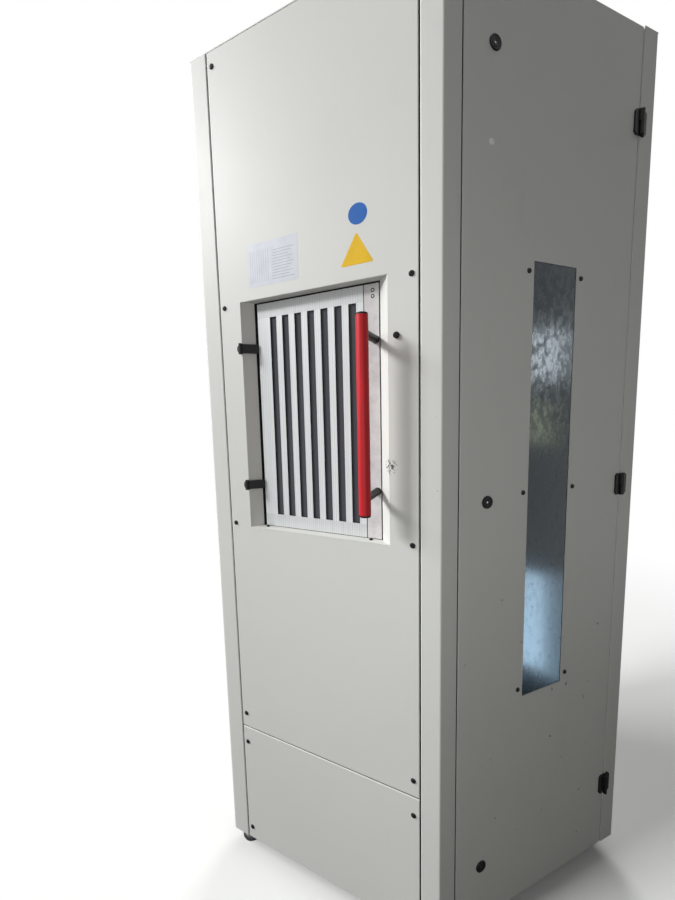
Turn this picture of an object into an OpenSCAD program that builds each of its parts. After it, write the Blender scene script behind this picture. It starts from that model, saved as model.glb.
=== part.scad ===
// Tool magazine tower: a five-sided sheet-metal cabinet on levelling feet.
// Behind the hatch face, set at 45 degrees, a lift carries a tool gripper.
// Behind the long window door stands a carousel of tool forks.

/* [Cabinet] */
// Width of the door face
door_face_w = 810; // [790:1:860]
// Width of the hatch face, which stands at 45 degrees to the door face
hatch_face_w = 810; // [800:1:860]
// Length of the plain side behind the hatch face
side_return = 67; // [64:1:120]
// Height of the panels
panel_h = 2840; // [2780:1:3000]
// Height of the lower edge of the panels above the floor
floor_gap = 60; // [54:1:90]
// Thickness of the panel sheets
sheet = 2; // [1.5:0.1:3]
// Thickness of the post sheets
post_sheet = 2.5; // [2:0.1:3]
// Thickness of the roof sheet
roof_sheet = 3; // [2:0.1:5]
// Gap between neighbouring panels
seam = 4; // [3:0.5:6]
// Width of the near corner post on each of its faces
near_strip = 57; // [50:1:60]
// Width of the outer posts on the hatch face and the door face
outer_strip = 66; // [60:1:70]
// Width of the outer posts on the end and on the back
back_strip = 60; // [50:1:64]
// Depth of the folded edges of the panels
panel_fold = 20; // [14:1:24]
// Height of the lower panel under the hatch
lower_panel_h = 482; // [400:1:520]

/* [Base and feet] */
// Thickness of the base plate
base_plate_t = 12; // [8:1:16]
// Depth of the rim under the base plate
base_rim_h = 22; // [15:1:26]
// Radius of a foot pad
foot_r = 40; // [30:1:50]
// Radius of a foot's stud
foot_stud_r = 10; // [8:0.5:12]
// Radius of the bolt holes towards the machine
machine_hole_r = 6.5; // [4.5:0.5:9]
// Height of the lower bolt holes above the panels' lower edge
machine_hole_z = 240; // [100:1:400]
// Distance of the upper bolt holes from the panels' upper edge
machine_hole_top = 240; // [100:1:400]

/* [Hatch] */
// Width of the recess at the panel face
recess_w = 510; // [490:1:520]
// Height of the lower edge of the recess above the panels' lower edge
recess_z = 1281; // [1240:1:1320]
// Depth of the recess down to the hatch
recess_depth = 34; // [30:1:38]
// How far each side of the recess slopes inwards
recess_slope = 33; // [25:1:36]
// Gap at the hinge side of the hatch
hatch_gap_hinge = 12; // [10:0.5:14]
// Gap at the handle side of the hatch
hatch_gap_handle = 4; // [3.5:0.5:6]
// Gap above the hatch
hatch_gap_top = 7; // [4:0.5:10]
// Gap below the hatch
hatch_gap_low = 4; // [3:0.5:8]
// Width of the plain strip that carries the handle
edge_strip_w = 45; // [40:1:50]
// Number of slots
slot_count = 7; // [5:1:7]
// Distance between slots
slot_pitch = 47.2; // [42:0.1:49]
// Width of a slot
slot_w = 25; // [16:0.5:28]
// Length of a slot
slot_h = 671; // [600:1:690]
// Distance from the slots' lower ends to the hatch's lower edge
slot_end_low = 43; // [40:1:60]
// Distance from the slots' upper ends to the hatch's upper edge
slot_end_top = 47; // [40:1:60]
// Thickness of the slotted cover
cover_t = 6; // [4:0.5:8]
// Thickness of the smoked pane behind the slots
hatch_pane_t = 4; // [3:0.5:5]
// Outer radius of the handle tube
handle_r = 17; // [13:0.5:18]
// Wall of the handle tube
handle_wall = 2.5; // [1.5:0.5:4]
// Length of the handle tube
handle_len = 536; // [500:1:600]
// Distance between the two handle legs
handle_leg_pitch = 452; // [420:1:460]
// Radius of a handle leg
handle_leg_r = 12; // [8:0.5:13]
// Distance of the handle's middle from the hatch's free edge
handle_inset = 11; // [10:0.5:20]
// Distance from the hatch to the middle of the handle tube
handle_reach = 115; // [90:1:125]
// Height of the middle of the handle above the panels' lower edge
handle_z = 1661; // [1640:1:1680]
// Distance between the two hatch hinges
hatch_hinge_pitch = 465; // [420:1:500]

/* [Door] */
// Depth of the door's folded edge
door_fold = 25; // [20:1:26]
// Width of the window opening
window_w = 173; // [150:1:190]
// Height of the window opening
window_h = 1349; // [1200:1:1400]
// Height of the window's lower edge above the panels' lower edge
window_z = 747; // [700:1:800]
// Thickness of the window pane
pane_t = 6; // [4:0.5:8]
// How far the pane reaches past its opening
pane_lap = 12; // [8:0.5:12]
// Distance of the end screws from the window's ends
window_screw_end = 29.5; // [20:0.5:60]
// Distance of the window screws from the opening
window_screw_inset = 19; // [17.5:0.5:22]
// Distance of the lowest door hinge from the panels' lower edge
door_hinge_low = 257; // [200:1:320]
// Distance of the top door hinge from the panels' upper edge
door_hinge_top = 279; // [220:1:340]
// Height of a door hinge
door_hinge_h = 74; // [60:1:90]
// Distance of the locks from the door's free edge
lock_inset = 98; // [90:1:104]
// Distance of the lowest lock from the panels' lower edge
lock_low = 203; // [150:1:260]
// Distance of the top lock from the panels' upper edge
lock_top = 229; // [180:1:290]
// Radius of a lock's face
lock_r = 19; // [16:0.5:22]

/* [Carousel] */
// Height of the lowest ring of forks above the floor
ring_low_z = 800; // [780:1:820]
// Distance between the rings
ring_pitch = 560; // [520:1:600]
// Number of forks in each ring
fork_count = 8; // [6:1:8]
// Radius at which the forks hold a tool
tool_circle_r = 245; // [235:1:246]
// Radius of the seat in a fork
fork_seat_r = 30; // [24:0.5:31]
// Width of a fork's mouth
fork_mouth_w = 52; // [40:1:54]
// Thickness of a fork
fork_t = 20; // [14:1:24]
// Outer radius of the column
column_r = 70; // [60:1:80]
// Radius of the discs that carry the forks
disc_r = 188; // [180:1:190]
// Thickness of the discs
disc_t = 12; // [8:1:14]
// Module of the gear teeth
gear_module = 5; // [4:0.5:5]
// Teeth of the ring gear
gear_teeth = 60; // [60:1:60]
// Teeth of the pinion
pinion_teeth = 15; // [15:1:15]
// Height of the top of the pedestal above the floor
pedestal_top = 360; // [350:1:380]

/* [Lift] */
// Width of the lift's square column
lift_w = 80; // [70:1:90]
// Travel of the tool gripper towards the carousel
gripper_travel = 225; // [200:1:225]
// Distance of the jaws below the fork they serve
jaw_drop = 32; // [30:1:36]
// Thickness of the jaws
jaw_t = 18; // [12:1:18]

/* [Hidden] */
$fn = 48;

paint = "gainsboro";
dark_paint = "dimgray";
black_part = "#202022";

// The five-sided plan
c45 = cos(45);
leg = hatch_face_w * c45;
tower_l = leg + door_face_w;
tower_d = leg + side_return;
top_z = floor_gap + panel_h;
wall_top = top_z - roof_sheet;
wall_h = wall_top - floor_gap;
cut = 1;

// Folds of the posts: the doors and panels close in front of the lips
lip_y = 30;
near_lip = 58;
far_lip = 20;
post_fold = 28;
frame_inset = 34;
base_inset = 12;
rim_inset = 30;
rim_t = 6;
stud_gap = 0.15;
stud_boss_r = foot_stud_r + 10;

// Door leaf, in the frame of the door face
door_x0 = near_strip + seam;
door_x1 = door_face_w - outer_strip - seam;
door_w = door_x1 - door_x0;
door_mid = (door_x0 + door_x1) / 2;
door_gap_z = 2;
door_h = wall_h - 2 * door_gap_z;
door_lip = 18;

// Door hinges
hinge_axis_out = 7.5;
knuckle_r = 7;
hinge_out = hinge_axis_out + knuckle_r;
hinge_axis_x = door_x1 + seam / 2;
door_hinge_pitch = (panel_h - door_hinge_top - door_hinge_low) / 2;
door_hinge_z = door_hinge_low + door_hinge_pitch;
hinge_pin_r = 4;
hinge_leaf_t = 5;
hinge_leaf_w = 18;
hinge_chamfer = 7;
hinge_lug_out = 2;
hinge_lug_in = 0.5;
running_gap = 0.05;
end_gap = 0.15;

// Locks
lock_x = door_x0 + lock_inset;
lock_pitch = (panel_h - lock_top - lock_low) / 2;
lock_z = lock_low + lock_pitch;
lock_neck_r = 12.5;
lock_shaft_r = 8;
lock_face_t = 4;
lock_groove_r = 12;
lock_groove_w = 2;
lock_key = 7;
cam_y = lip_y + post_sheet + 1;
cam_t = 3;
cam_len = lock_x - near_strip - near_lip + 18;
cam_w = 20;

// Window
window_x0 = door_mid + 2 - window_w / 2;
window_screw_pitch = window_h / 2 - window_screw_end;
retainer_w = window_screw_inset + 12;
retainer_t = 3;
screw_r = 3;
screw_head_r = 6.75;
screw_head_h = 4;
screw_gap = 0.25;

// Front panels, in the frame of the hatch face
front_x0 = outer_strip + seam;
front_x1 = hatch_face_w - near_strip - seam;
front_w = front_x1 - front_x0;
front_mid = (front_x0 + front_x1) / 2;
front_screw_inset = 19;
front_screw_z0 = lower_panel_h + 59;
front_screw_pitch = (panel_h - 49 - front_screw_z0) / 3;
low_screw_z0 = 50.5;
low_screw_z1 = lower_panel_h - 61;

// Recess and hatch, in the frame of the hatch face
recess_x0 = front_mid - recess_w / 2;
recess_x1 = front_mid + recess_w / 2;
mouth_x0 = recess_x0 + recess_slope;
mouth_x1 = recess_x1 - recess_slope;
hatch_x0 = mouth_x0 + hatch_gap_hinge;
hatch_x1 = mouth_x1 - hatch_gap_handle;
hatch_w = hatch_x1 - hatch_x0;
hatch_z0 = floor_gap + recess_z + hatch_gap_low;
hatch_h = slot_h + slot_end_low + slot_end_top;
recess_h = hatch_h + hatch_gap_low + hatch_gap_top;
hatch_mid_z = floor_gap + recess_z + recess_h / 2;
cover_w = hatch_w - edge_strip_w - 2.5;
slots_mid = hatch_x0 + cover_w / 2 + 13;
slots_mid_z = hatch_z0 + slot_end_low + slot_h / 2;
leaf_y0 = recess_depth + cover_t;
leaf_t = 16;
leaf_y1 = leaf_y0 + leaf_t;
pane_gap = 0.3;
frame_back = leaf_y1 + 2.5;
frame_lip = 24;

// Hatch hinges
hatch_axis_x = recess_x0 + 0.5;
hatch_axis_out = 8;
hatch_knuckle_r = 6.5;
hatch_pin_r = 3.5;
hatch_hinge_h = 34;
hatch_arm_t = 6;
hatch_strap_h = 30;
hatch_strap_bend = 7;

// Handle
handle_x = hatch_x1 - handle_inset;
handle_y = recess_depth - handle_reach;
cap_h = 6;
saddle_gap = 0.1;

// Bumper on the front panel
bumper_x = front_x1 - 61;
bumper_z = floor_gap + recess_z + recess_h - 168;
bumper_r = 9;
bumper_h = 8;
bumper_stem_r = 4;

// Carousel
carousel_x = leg + door_mid;
carousel_y = tower_d / 2 + 3;
spigot_r = 50;
spigot_h = 190;
pedestal_r = 100;
pedestal_flange_r = 130;
flange_t = 15;
seat_gap = 0.3;
turn_disc_r = 140;
turn_disc_t = 12;
gear_w = 25;
gear_bore_r = 120;
gear_r = gear_module * gear_teeth / 2;
pinion_r = gear_module * pinion_teeth / 2;
gear_distance = gear_r + pinion_r;
gear_z0 = pedestal_top + seat_gap + turn_disc_t;
pinion_shaft_r = 12.5;
backlash = 0.5;
pressure = 20;
motor_box = 120;
motor_box_h = 110;
motor_r = 52;
motor_fin_r = motor_r + 5;
motor_fin_t = 4;
motor_fin_step = 12;
bearing_bore_r = 30;
arm_bore_r = 22;
rib_t = 10;
rib_w = 32;
column_wall = 5;
column_top = wall_top - 177;
top_spigot_r = 25;
bearing_r = 60;
beam_w = 80;
beam_h = 60;
beam_wall = 4;
fork_root_r = 150;
fork_tip_r = 275;
fork_w = 92;
fork_root_w = 76;
disc_hole_r = 24;

// Lift and gripper
lift_x0 = 520;
lift_y0 = tower_d - 125;
lift_motor_drop = 290;
lift_motor_r = 36;
lift_gear_w = 80;
lift_gear_h = 90;
lift_bore_r = 14;
lift_groove_w = 10;
lift_groove_d = 11;
carriage_gap = 0.3;
carriage_t = 20;
carriage_h = 160;
carriage_w = 100;
shoe_w = 10;
shoe_gap = 0.5;
rail_x0 = 380;
rail_x1 = 690;
rail_t = 40;
rail_h = 60;
strip_d = 12;
strip_h = 20;
ring_top_z = ring_low_z + 2 * ring_pitch;
jaw_z = ring_top_z - jaw_drop;
jaw_x = carousel_x - tool_circle_r - gripper_travel;
block_w = 70;
block_t = 30;
block_h = 56;
block_x0 = jaw_x - 110;
jaw_seat_r = 27;
jaw_w = 84;
jaw_tip = 34;

// The origin is under the middle of the whole box, on the floor
module plan() {
    translate([-tower_l / 2, -(tower_d - hinge_out) / 2, 0]) children();
}

// Along the door face from the near corner; y runs inwards
module door_face() {
    plan() translate([leg, 0, 0]) children();
}

// Along the hatch face from the left post to the near corner; y runs inwards
module hatch_face() {
    plan() translate([0, leg, 0]) rotate([0, 0, -45]) children();
}

// Along the end from the door face to the back; y runs inwards
module end_face() {
    plan() translate([tower_l, 0, 0]) rotate([0, 0, 90]) children();
}

// Along the back from the end to the left side; y runs inwards
module back_face() {
    plan() translate([tower_l, tower_d, 0]) rotate([0, 0, 180]) children();
}

module carousel_axis() {
    plan() translate([carousel_x, carousel_y, 0]) children();
}

// The plan with every side moved inwards by the same distance
function plan_points(inset) = [
    [inset, leg + inset * (sqrt(2) - 1)],
    [leg + inset * (sqrt(2) - 1), inset],
    [tower_l - inset, inset],
    [tower_l - inset, tower_d - inset],
    [inset, tower_d - inset]
];

foot_places = [
    [70, tower_d - 55],
    [leg + 45, 75],
    [tower_l - 75, 75],
    [tower_l - 75, tower_d - 75],
    [tower_l / 2, tower_d - 75]
];

// A folded sheet panel, open at the back
module pan(w, h, fold, t) {
    difference() {
        cube([w, fold, h]);
        translate([t, t, t]) cube([w - 2 * t, fold, h - 2 * t]);
    }
}

// A hole or a shaft that runs inwards through a face
module inward(r, y0, y1) {
    translate([0, y0, 0]) rotate([-90, 0, 0]) cylinder(r = r, h = y1 - y0);
}

// A button-head screw with its head on the face
module face_screw(length) {
    difference() {
        union() {
            inward(screw_r, -cut, length);
            translate([0, 0, 0]) rotate([90, 0, 0])
                cylinder(r1 = screw_head_r, r2 = screw_head_r * 0.62, h = screw_head_h);
        }
        translate([0, -1.6, 0]) rotate([90, 0, 0]) cylinder(r = 2.3, h = screw_head_h, $fn = 6);
    }
}

// Base, posts and skins

module base_plate() {
    boss_h = base_rim_h - 2;
    color(dark_paint) plan() difference() {
        union() {
            translate([0, 0, floor_gap - base_plate_t])
                linear_extrude(base_plate_t) polygon(plan_points(base_inset));
            translate([0, 0, floor_gap - base_plate_t - base_rim_h]) linear_extrude(base_rim_h + cut)
                difference() {
                    polygon(plan_points(rim_inset));
                    polygon(plan_points(rim_inset + rim_t));
                }
            for (p = foot_places) translate([p[0], p[1], floor_gap - base_plate_t - boss_h])
                cylinder(r = stud_boss_r, h = boss_h + cut);
        }
        for (p = foot_places) translate([p[0], p[1], 0])
            cylinder(r = foot_stud_r + stud_gap, h = floor_gap + cut);
    }
}

module levelling_feet() {
    pad_h = 8;
    nut_h = 10;
    nut_r = foot_stud_r * 1.7;
    nut_top = floor_gap - base_plate_t - base_rim_h + 2;
    cone_top = nut_top - nut_h;
    color("silver") plan() for (p = foot_places) translate([p[0], p[1], 0]) {
        cylinder(r = foot_r, h = pad_h);
        translate([0, 0, pad_h - 0.01])
            cylinder(r1 = foot_r - 6, r2 = foot_stud_r + 3, h = cone_top - pad_h);
        cylinder(r = foot_stud_r, h = floor_gap - 1);
        translate([0, 0, nut_top - nut_h]) cylinder(r = nut_r, h = nut_h, $fn = 6);
    }
}

module post_near() {
    t = post_sheet;
    mitre = t * (sqrt(2) - 1);
    h_face = [-near_strip * c45, near_strip * c45];
    inward_step = post_fold * c45;
    color(paint) door_face() translate([0, 0, floor_gap]) linear_extrude(wall_h) polygon([
        [near_strip, 0],
        [0, 0],
        h_face,
        h_face + [inward_step, inward_step],
        h_face + [inward_step, inward_step] + t * [c45, -c45],
        h_face + t * [c45, -c45] + t * [c45, c45],
        [mitre, t],
        [near_strip - t, t],
        [near_strip - t, lip_y + t],
        [near_strip + near_lip, lip_y + t],
        [near_strip + near_lip, lip_y],
        [near_strip, lip_y]
    ]);
}

module post_left() {
    t = post_sheet;
    a = outer_strip * c45;
    inward_step = post_fold * c45;
    mitre = t * (sqrt(2) - 1);
    color(paint) difference() {
        plan() translate([0, 0, floor_gap]) linear_extrude(wall_h) polygon([
            [a, leg - a],
            [0, leg],
            [0, tower_d],
            [back_strip, tower_d],
            [back_strip, tower_d - panel_fold],
            [back_strip - t, tower_d - panel_fold],
            [back_strip - t, tower_d - t],
            [t, tower_d - t],
            [t, leg + mitre],
            [a, leg - a] + t * [c45, c45] + t * [-c45, c45],
            [a, leg - a] + [inward_step, inward_step] + t * [-c45, c45],
            [a, leg - a] + [inward_step, inward_step]
        ]);
        machine_holes();
    }
}

module post_right() {
    t = post_sheet;
    x0 = door_face_w - outer_strip;
    color(paint) door_face() translate([0, 0, floor_gap]) linear_extrude(wall_h) polygon([
        [x0, 0],
        [door_face_w, 0],
        [door_face_w, back_strip],
        [door_face_w - panel_fold, back_strip],
        [door_face_w - panel_fold, back_strip - t],
        [door_face_w - t, back_strip - t],
        [door_face_w - t, t],
        [x0 + t, t],
        [x0 + t, lip_y + t],
        [x0 - far_lip, lip_y + t],
        [x0 - far_lip, lip_y],
        [x0, lip_y]
    ]);
}

module post_rear() {
    t = post_sheet;
    x1 = tower_l;
    y1 = tower_d;
    color(paint) difference() {
        plan() translate([0, 0, floor_gap]) linear_extrude(wall_h) polygon([
            [x1, y1],
            [x1 - back_strip, y1],
            [x1 - back_strip, y1 - panel_fold],
            [x1 - back_strip + t, y1 - panel_fold],
            [x1 - back_strip + t, y1 - t],
            [x1 - t, y1 - t],
            [x1 - t, y1 - back_strip + t],
            [x1 - panel_fold, y1 - back_strip + t],
            [x1 - panel_fold, y1 - back_strip],
            [x1, y1 - back_strip]
        ]);
        machine_holes();
    }
}

// Four bolt holes in the back flanges of the rear posts
module machine_holes() {
    plan() for (x = [back_strip / 2, tower_l - back_strip / 2])
        for (z = [floor_gap + machine_hole_z, top_z - machine_hole_top])
            translate([x, tower_d - 10, z])
                inward(machine_hole_r, 0, 20);
}

module roof_panel() {
    rim_h = 37;
    beam_y0 = frame_inset + 1;
    beam_l = tower_d - 2 * beam_y0;
    color(paint) plan() {
        difference() {
            union() {
                translate([0, 0, wall_top]) linear_extrude(roof_sheet) polygon(plan_points(0));
                translate([0, 0, wall_top - rim_h]) linear_extrude(rim_h + cut) difference() {
                    polygon(plan_points(frame_inset));
                    polygon(plan_points(frame_inset + roof_sheet));
                }
            }
            translate([-cut, leg - cut, wall_top - rim_h - cut])
                cube([frame_inset + roof_sheet + cut, side_return + 2 * cut, rim_h + cut]);
            translate([leg + near_strip, -cut, wall_top - cut])
                cube([door_face_w - near_strip - outer_strip, lip_y + cut, roof_sheet + 2 * cut]);
        }
        translate([carousel_x - beam_w / 2, beam_y0, wall_top - beam_h]) difference() {
            cube([beam_w, beam_l, beam_h]);
            translate([beam_wall, -cut, beam_wall])
                cube([beam_w - 2 * beam_wall, beam_l + 2 * cut, beam_h - beam_wall + cut]);
        }
    }
}

module front_screw_places() {
    for (x = [front_x0 + front_screw_inset, front_x1 - front_screw_inset]) {
        for (i = [0:3])
            translate([x, 0, floor_gap + front_screw_z0 + i * front_screw_pitch]) children();
        for (z = [low_screw_z0, low_screw_z1]) translate([x, 0, floor_gap + z]) children();
    }
}

module upper_front_panel() {
    z0 = floor_gap + lower_panel_h + seam;
    color(paint) hatch_face() difference() {
        translate([front_x0, 0, z0]) pan(front_w, wall_top - z0, panel_fold, sheet);
        translate([recess_x0, -cut, floor_gap + recess_z])
            cube([recess_w, panel_fold, recess_h]);
        front_screw_places() inward(screw_r + screw_gap, -cut, 5);
        translate([bumper_x, 0, bumper_z]) inward(bumper_stem_r + screw_gap, -cut, 5);
    }
}

module lower_front_panel() {
    color(paint) hatch_face() difference() {
        translate([front_x0, 0, floor_gap]) pan(front_w, lower_panel_h, panel_fold, sheet);
        front_screw_places() inward(screw_r + screw_gap, -cut, 5);
    }
}

// Sloping sides, straight top and bottom, and a lip behind the hatch
module hatch_frame() {
    t = sheet;
    z0 = floor_gap + recess_z;
    gap = 0.2;
    x0 = recess_x0 + gap;
    x1 = recess_x1 - gap;
    edge = 0.8;
    color(paint) hatch_face() difference() {
        translate([0, 0, z0 + gap]) linear_extrude(recess_h - 2 * gap) polygon([
            [x0, 0],
            [x1, 0],
            [x1, t + 1],
            [mouth_x1 + t, recess_depth + 1],
            [mouth_x1 + t, frame_back + t],
            [mouth_x0 - t, frame_back + t],
            [mouth_x0 - t, recess_depth + 1],
            [x0, t + 1]
        ]);
        translate([0, 0, z0 + t]) linear_extrude(recess_h - 2 * t) polygon([
            [x0 + edge, -cut],
            [x1 - edge, -cut],
            [x1 - edge, 0],
            [mouth_x1, recess_depth],
            [mouth_x1, frame_back],
            [mouth_x0, frame_back],
            [mouth_x0, recess_depth],
            [x0 + edge, 0]
        ]);
        translate([mouth_x0 + frame_lip, 0, z0 + frame_lip])
            cube([mouth_x1 - mouth_x0 - 2 * frame_lip, frame_back + 2 * t, recess_h - 2 * frame_lip]);
    }
}

module end_panel() {
    x0 = back_strip + seam;
    color(paint) end_face() translate([x0, 0, floor_gap])
        pan(tower_d - 2 * x0, wall_h, panel_fold, sheet);
}

// The back is split beside the lift; the left half has the opening for tools
back_x0 = back_strip + seam;
back_split = 740;
transfer_x0 = 980;
transfer_w = 250;
transfer_z0 = 1400;
transfer_h = 560;
transfer_rim = 12;

module back_panel_right() {
    color(paint) back_face() translate([back_x0, 0, floor_gap])
        pan(back_split - back_x0, wall_h, panel_fold, sheet);
}

module back_panel_left() {
    x0 = back_split + seam;
    color(paint) back_face() difference() {
        union() {
            translate([x0, 0, floor_gap])
                pan(tower_l - back_x0 - x0, wall_h, panel_fold, sheet);
            translate([transfer_x0 - sheet, 0, transfer_z0 - sheet])
                cube([transfer_w + 2 * sheet, transfer_rim, transfer_h + 2 * sheet]);
        }
        translate([transfer_x0, -cut, transfer_z0])
            cube([transfer_w, transfer_rim + 2 * cut, transfer_h]);
    }
}

module panel_screws() {
    color(black_part) hatch_face() front_screw_places() face_screw(14);
}

module hatch_bumper() {
    color(black_part) hatch_face() translate([bumper_x, 0, bumper_z]) {
        inward(bumper_stem_r, -cut, 10);
        rotate([90, 0, 0]) cylinder(r = bumper_r, h = bumper_h - 2);
        translate([0, 2 - bumper_h, 0]) rotate([90, 0, 0])
            cylinder(r1 = bumper_r, r2 = bumper_r - 2, h = 2);
    }
}

// The switch hangs behind the frame's lip; the tongue on the hatch enters it
switch_w = 46;
switch_d = 34;
switch_h = 90;
switch_x0 = mouth_x1 - 44;
switch_y0 = frame_back + sheet;
tongue_w = 6;
tongue_h = 12;
tongue_len = 20;
tongue_gap = 3;
tongue_x0 = mouth_x1 - 38;

module hatch_switch() {
    color(dark_paint) hatch_face() translate([0, 0, hatch_mid_z]) difference() {
        translate([switch_x0, switch_y0, -switch_h / 2]) cube([switch_w, switch_d, switch_h]);
        translate([tongue_x0 - tongue_gap, switch_y0 - cut, -tongue_h / 2 - tongue_gap])
            cube([tongue_w + 10, tongue_len + 4, tongue_h + 2 * tongue_gap]);
    }
}

module hatch_actuator() {
    color("silver") hatch_face() translate([0, 0, hatch_mid_z]) {
        translate([tongue_x0 - 12, leaf_y1, -14]) cube([tongue_w + 18, 2, 28]);
        translate([tongue_x0, leaf_y1 + 1, -tongue_h / 2]) cube([tongue_w, tongue_len, tongue_h]);
    }
}

// Hinges

// A plate with its two outer corners cut off; the knuckle stands beside it
module hinge_plate() {
    x0 = knuckle_r + 2;
    x1 = x0 + hinge_leaf_w;
    half = door_hinge_h / 2;
    rotate([90, 0, 0]) linear_extrude(hinge_leaf_t) polygon([
        [x0, -half],
        [x1 - hinge_chamfer, -half],
        [x1, hinge_chamfer - half],
        [x1, half - hinge_chamfer],
        [x1 - hinge_chamfer, half],
        [x0, half]
    ]);
}

module door_hinge_base(z) {
    half = door_hinge_h / 2;
    lug_d = hinge_axis_out + hinge_lug_out;
    color(black_part) door_face() translate([hinge_axis_x, 0, floor_gap + z]) {
        hinge_plate();
        translate([0, -lug_d, -half])
            cube([knuckle_r + 4, lug_d - hinge_lug_in, half - end_gap]);
        translate([0, -hinge_axis_out, -half]) {
            cylinder(r = knuckle_r, h = half - end_gap);
            cylinder(r = hinge_pin_r, h = door_hinge_h - 3);
        }
    }
}

module door_hinge_leaf(z) {
    half = door_hinge_h / 2;
    lug_d = hinge_axis_out + hinge_lug_out;
    color(black_part) door_face() translate([hinge_axis_x, 0, floor_gap + z]) difference() {
        union() {
            mirror([1, 0, 0]) hinge_plate();
            translate([-knuckle_r - 4, -lug_d, end_gap])
                cube([knuckle_r + 4, lug_d - hinge_lug_in, half - end_gap]);
            translate([0, -hinge_axis_out, end_gap]) cylinder(r = knuckle_r, h = half - end_gap);
        }
        translate([0, -hinge_axis_out, -door_hinge_h])
            cylinder(r = hinge_pin_r + running_gap, h = 2 * door_hinge_h);
    }
}

module hatch_hinge_base(z) {
    half = hatch_hinge_h / 2;
    color(black_part) hatch_face() translate([hatch_axis_x, 0, z]) {
        intersection() {
            translate([-18, -hatch_axis_out + 1.5, -half])
                cube([10, hatch_axis_out - 1.5, hatch_hinge_h]);
            translate([-1, 0, 0]) inward(half, -20, 0);
        }
        translate([-9, -hatch_axis_out - 2, -half]) cube([9, hatch_axis_out + 2, half - end_gap]);
        translate([0, -hatch_axis_out, -half]) {
            cylinder(r = hatch_knuckle_r, h = half - end_gap);
            cylinder(r = hatch_pin_r, h = hatch_hinge_h - 2);
        }
    }
}

// A cranked strap that reaches over the slope and down the gap to the leaf's edge
module hatch_hinge_arm(z) {
    half = hatch_hinge_h / 2;
    reach = hatch_x0 - hatch_axis_x;
    over = -hatch_axis_out - hatch_arm_t / 2;
    under = -hatch_axis_out + hatch_arm_t / 2;
    bend_y = recess_depth - hatch_strap_bend;
    clear_r = hatch_knuckle_r + 0.7;
    color(black_part) hatch_face() translate([hatch_axis_x, 0, z]) difference() {
        union() {
            translate([0, -hatch_axis_out, end_gap])
                cylinder(r = hatch_knuckle_r, h = half - end_gap);
            translate([0, 0, -hatch_strap_h / 2]) linear_extrude(hatch_strap_h) polygon([
                [0, over],
                [reach, bend_y - 1],
                [reach, leaf_y1 - 2],
                [reach - hatch_arm_t, leaf_y1 - 2],
                [reach - hatch_arm_t, bend_y + 1],
                [0, under]
            ]);
        }
        translate([0, -hatch_axis_out, -half - cut]) cylinder(r = clear_r, h = half + cut + end_gap);
        translate([0, -hatch_axis_out, -half])
            cylinder(r = hatch_pin_r + running_gap, h = 2 * hatch_hinge_h);
    }
}

// Side door

module side_door() {
    color(paint) door_face() difference() {
        translate([door_x0, 0, floor_gap + door_gap_z]) difference() {
            cube([door_w, door_fold, door_h]);
            translate([sheet, sheet, sheet])
                cube([door_w - 2 * sheet, door_fold - 2 * sheet, door_h - 2 * sheet]);
            translate([door_lip, door_fold - sheet - cut, door_lip])
                cube([door_w - 2 * door_lip, sheet + 2 * cut, door_h - 2 * door_lip]);
        }
        translate([window_x0, -cut, floor_gap + window_z]) cube([window_w, 5, window_h]);
        window_screw_places() inward(screw_r + screw_gap, -cut, 5);
        for (i = [-1:1]) translate([lock_x, 0, floor_gap + lock_z + i * lock_pitch])
            inward(lock_neck_r + 0.3, -cut, 5);
        translate([plug_x, 0, plug_z]) inward(plug_stem_r + screw_gap, -cut, 5);
    }
}

module window_screw_places() {
    for (x = [window_x0 - window_screw_inset, window_x0 + window_w + window_screw_inset])
        for (i = [-1:1])
            translate([x, 0, floor_gap + window_z + window_h / 2 + i * window_screw_pitch])
                children();
}

module door_window() {
    color([0.30, 0.31, 0.30, 0.8]) door_face()
        translate([window_x0 - pane_lap, sheet, floor_gap + window_z - pane_lap])
            cube([window_w + 2 * pane_lap, pane_t, window_h + 2 * pane_lap]);
}

// Holds the pane against the back of the door sheet
module window_retainer() {
    color(dark_paint) door_face() difference() {
        translate([window_x0 - retainer_w, sheet, floor_gap + window_z - retainer_w])
            cube([window_w + 2 * retainer_w, pane_t + retainer_t, window_h + 2 * retainer_w]);
        translate([window_x0 - pane_lap - pane_gap, 0, floor_gap + window_z - pane_lap - pane_gap])
            cube([
                window_w + 2 * pane_lap + 2 * pane_gap,
                sheet + pane_t,
                window_h + 2 * pane_lap + 2 * pane_gap
            ]);
        translate([window_x0, 0, floor_gap + window_z]) cube([window_w, 20, window_h]);
        window_screw_places() inward(screw_r + screw_gap, 0, 20);
    }
}

module window_screws() {
    color(black_part) door_face() window_screw_places() face_screw(sheet + pane_t + 2);
}

module door_seal() {
    seal_w = 12;
    inset = 3;
    color(black_part) door_face()
        translate([door_x0 + inset, door_fold, floor_gap + door_gap_z + inset]) difference() {
            cube([door_w - 2 * inset, lip_y - door_fold - 0.3, door_h - 2 * inset]);
            translate([seal_w, -cut, seal_w]) cube([
                door_w - 2 * inset - 2 * seal_w,
                10,
                door_h - 2 * inset - 2 * seal_w
            ]);
        }
}

plug_x = door_x0 + 92;
plug_top = 466;
plug_z = top_z - plug_top;
plug_r = 8.5;
plug_stem_r = 5;

module door_plug() {
    color("lightgray") door_face() translate([plug_x, 0, plug_z]) {
        inward(plug_stem_r, -cut, 8);
        rotate([90, 0, 0]) cylinder(r1 = plug_r, r2 = plug_r - 1.5, h = 2.5);
    }
}

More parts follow.
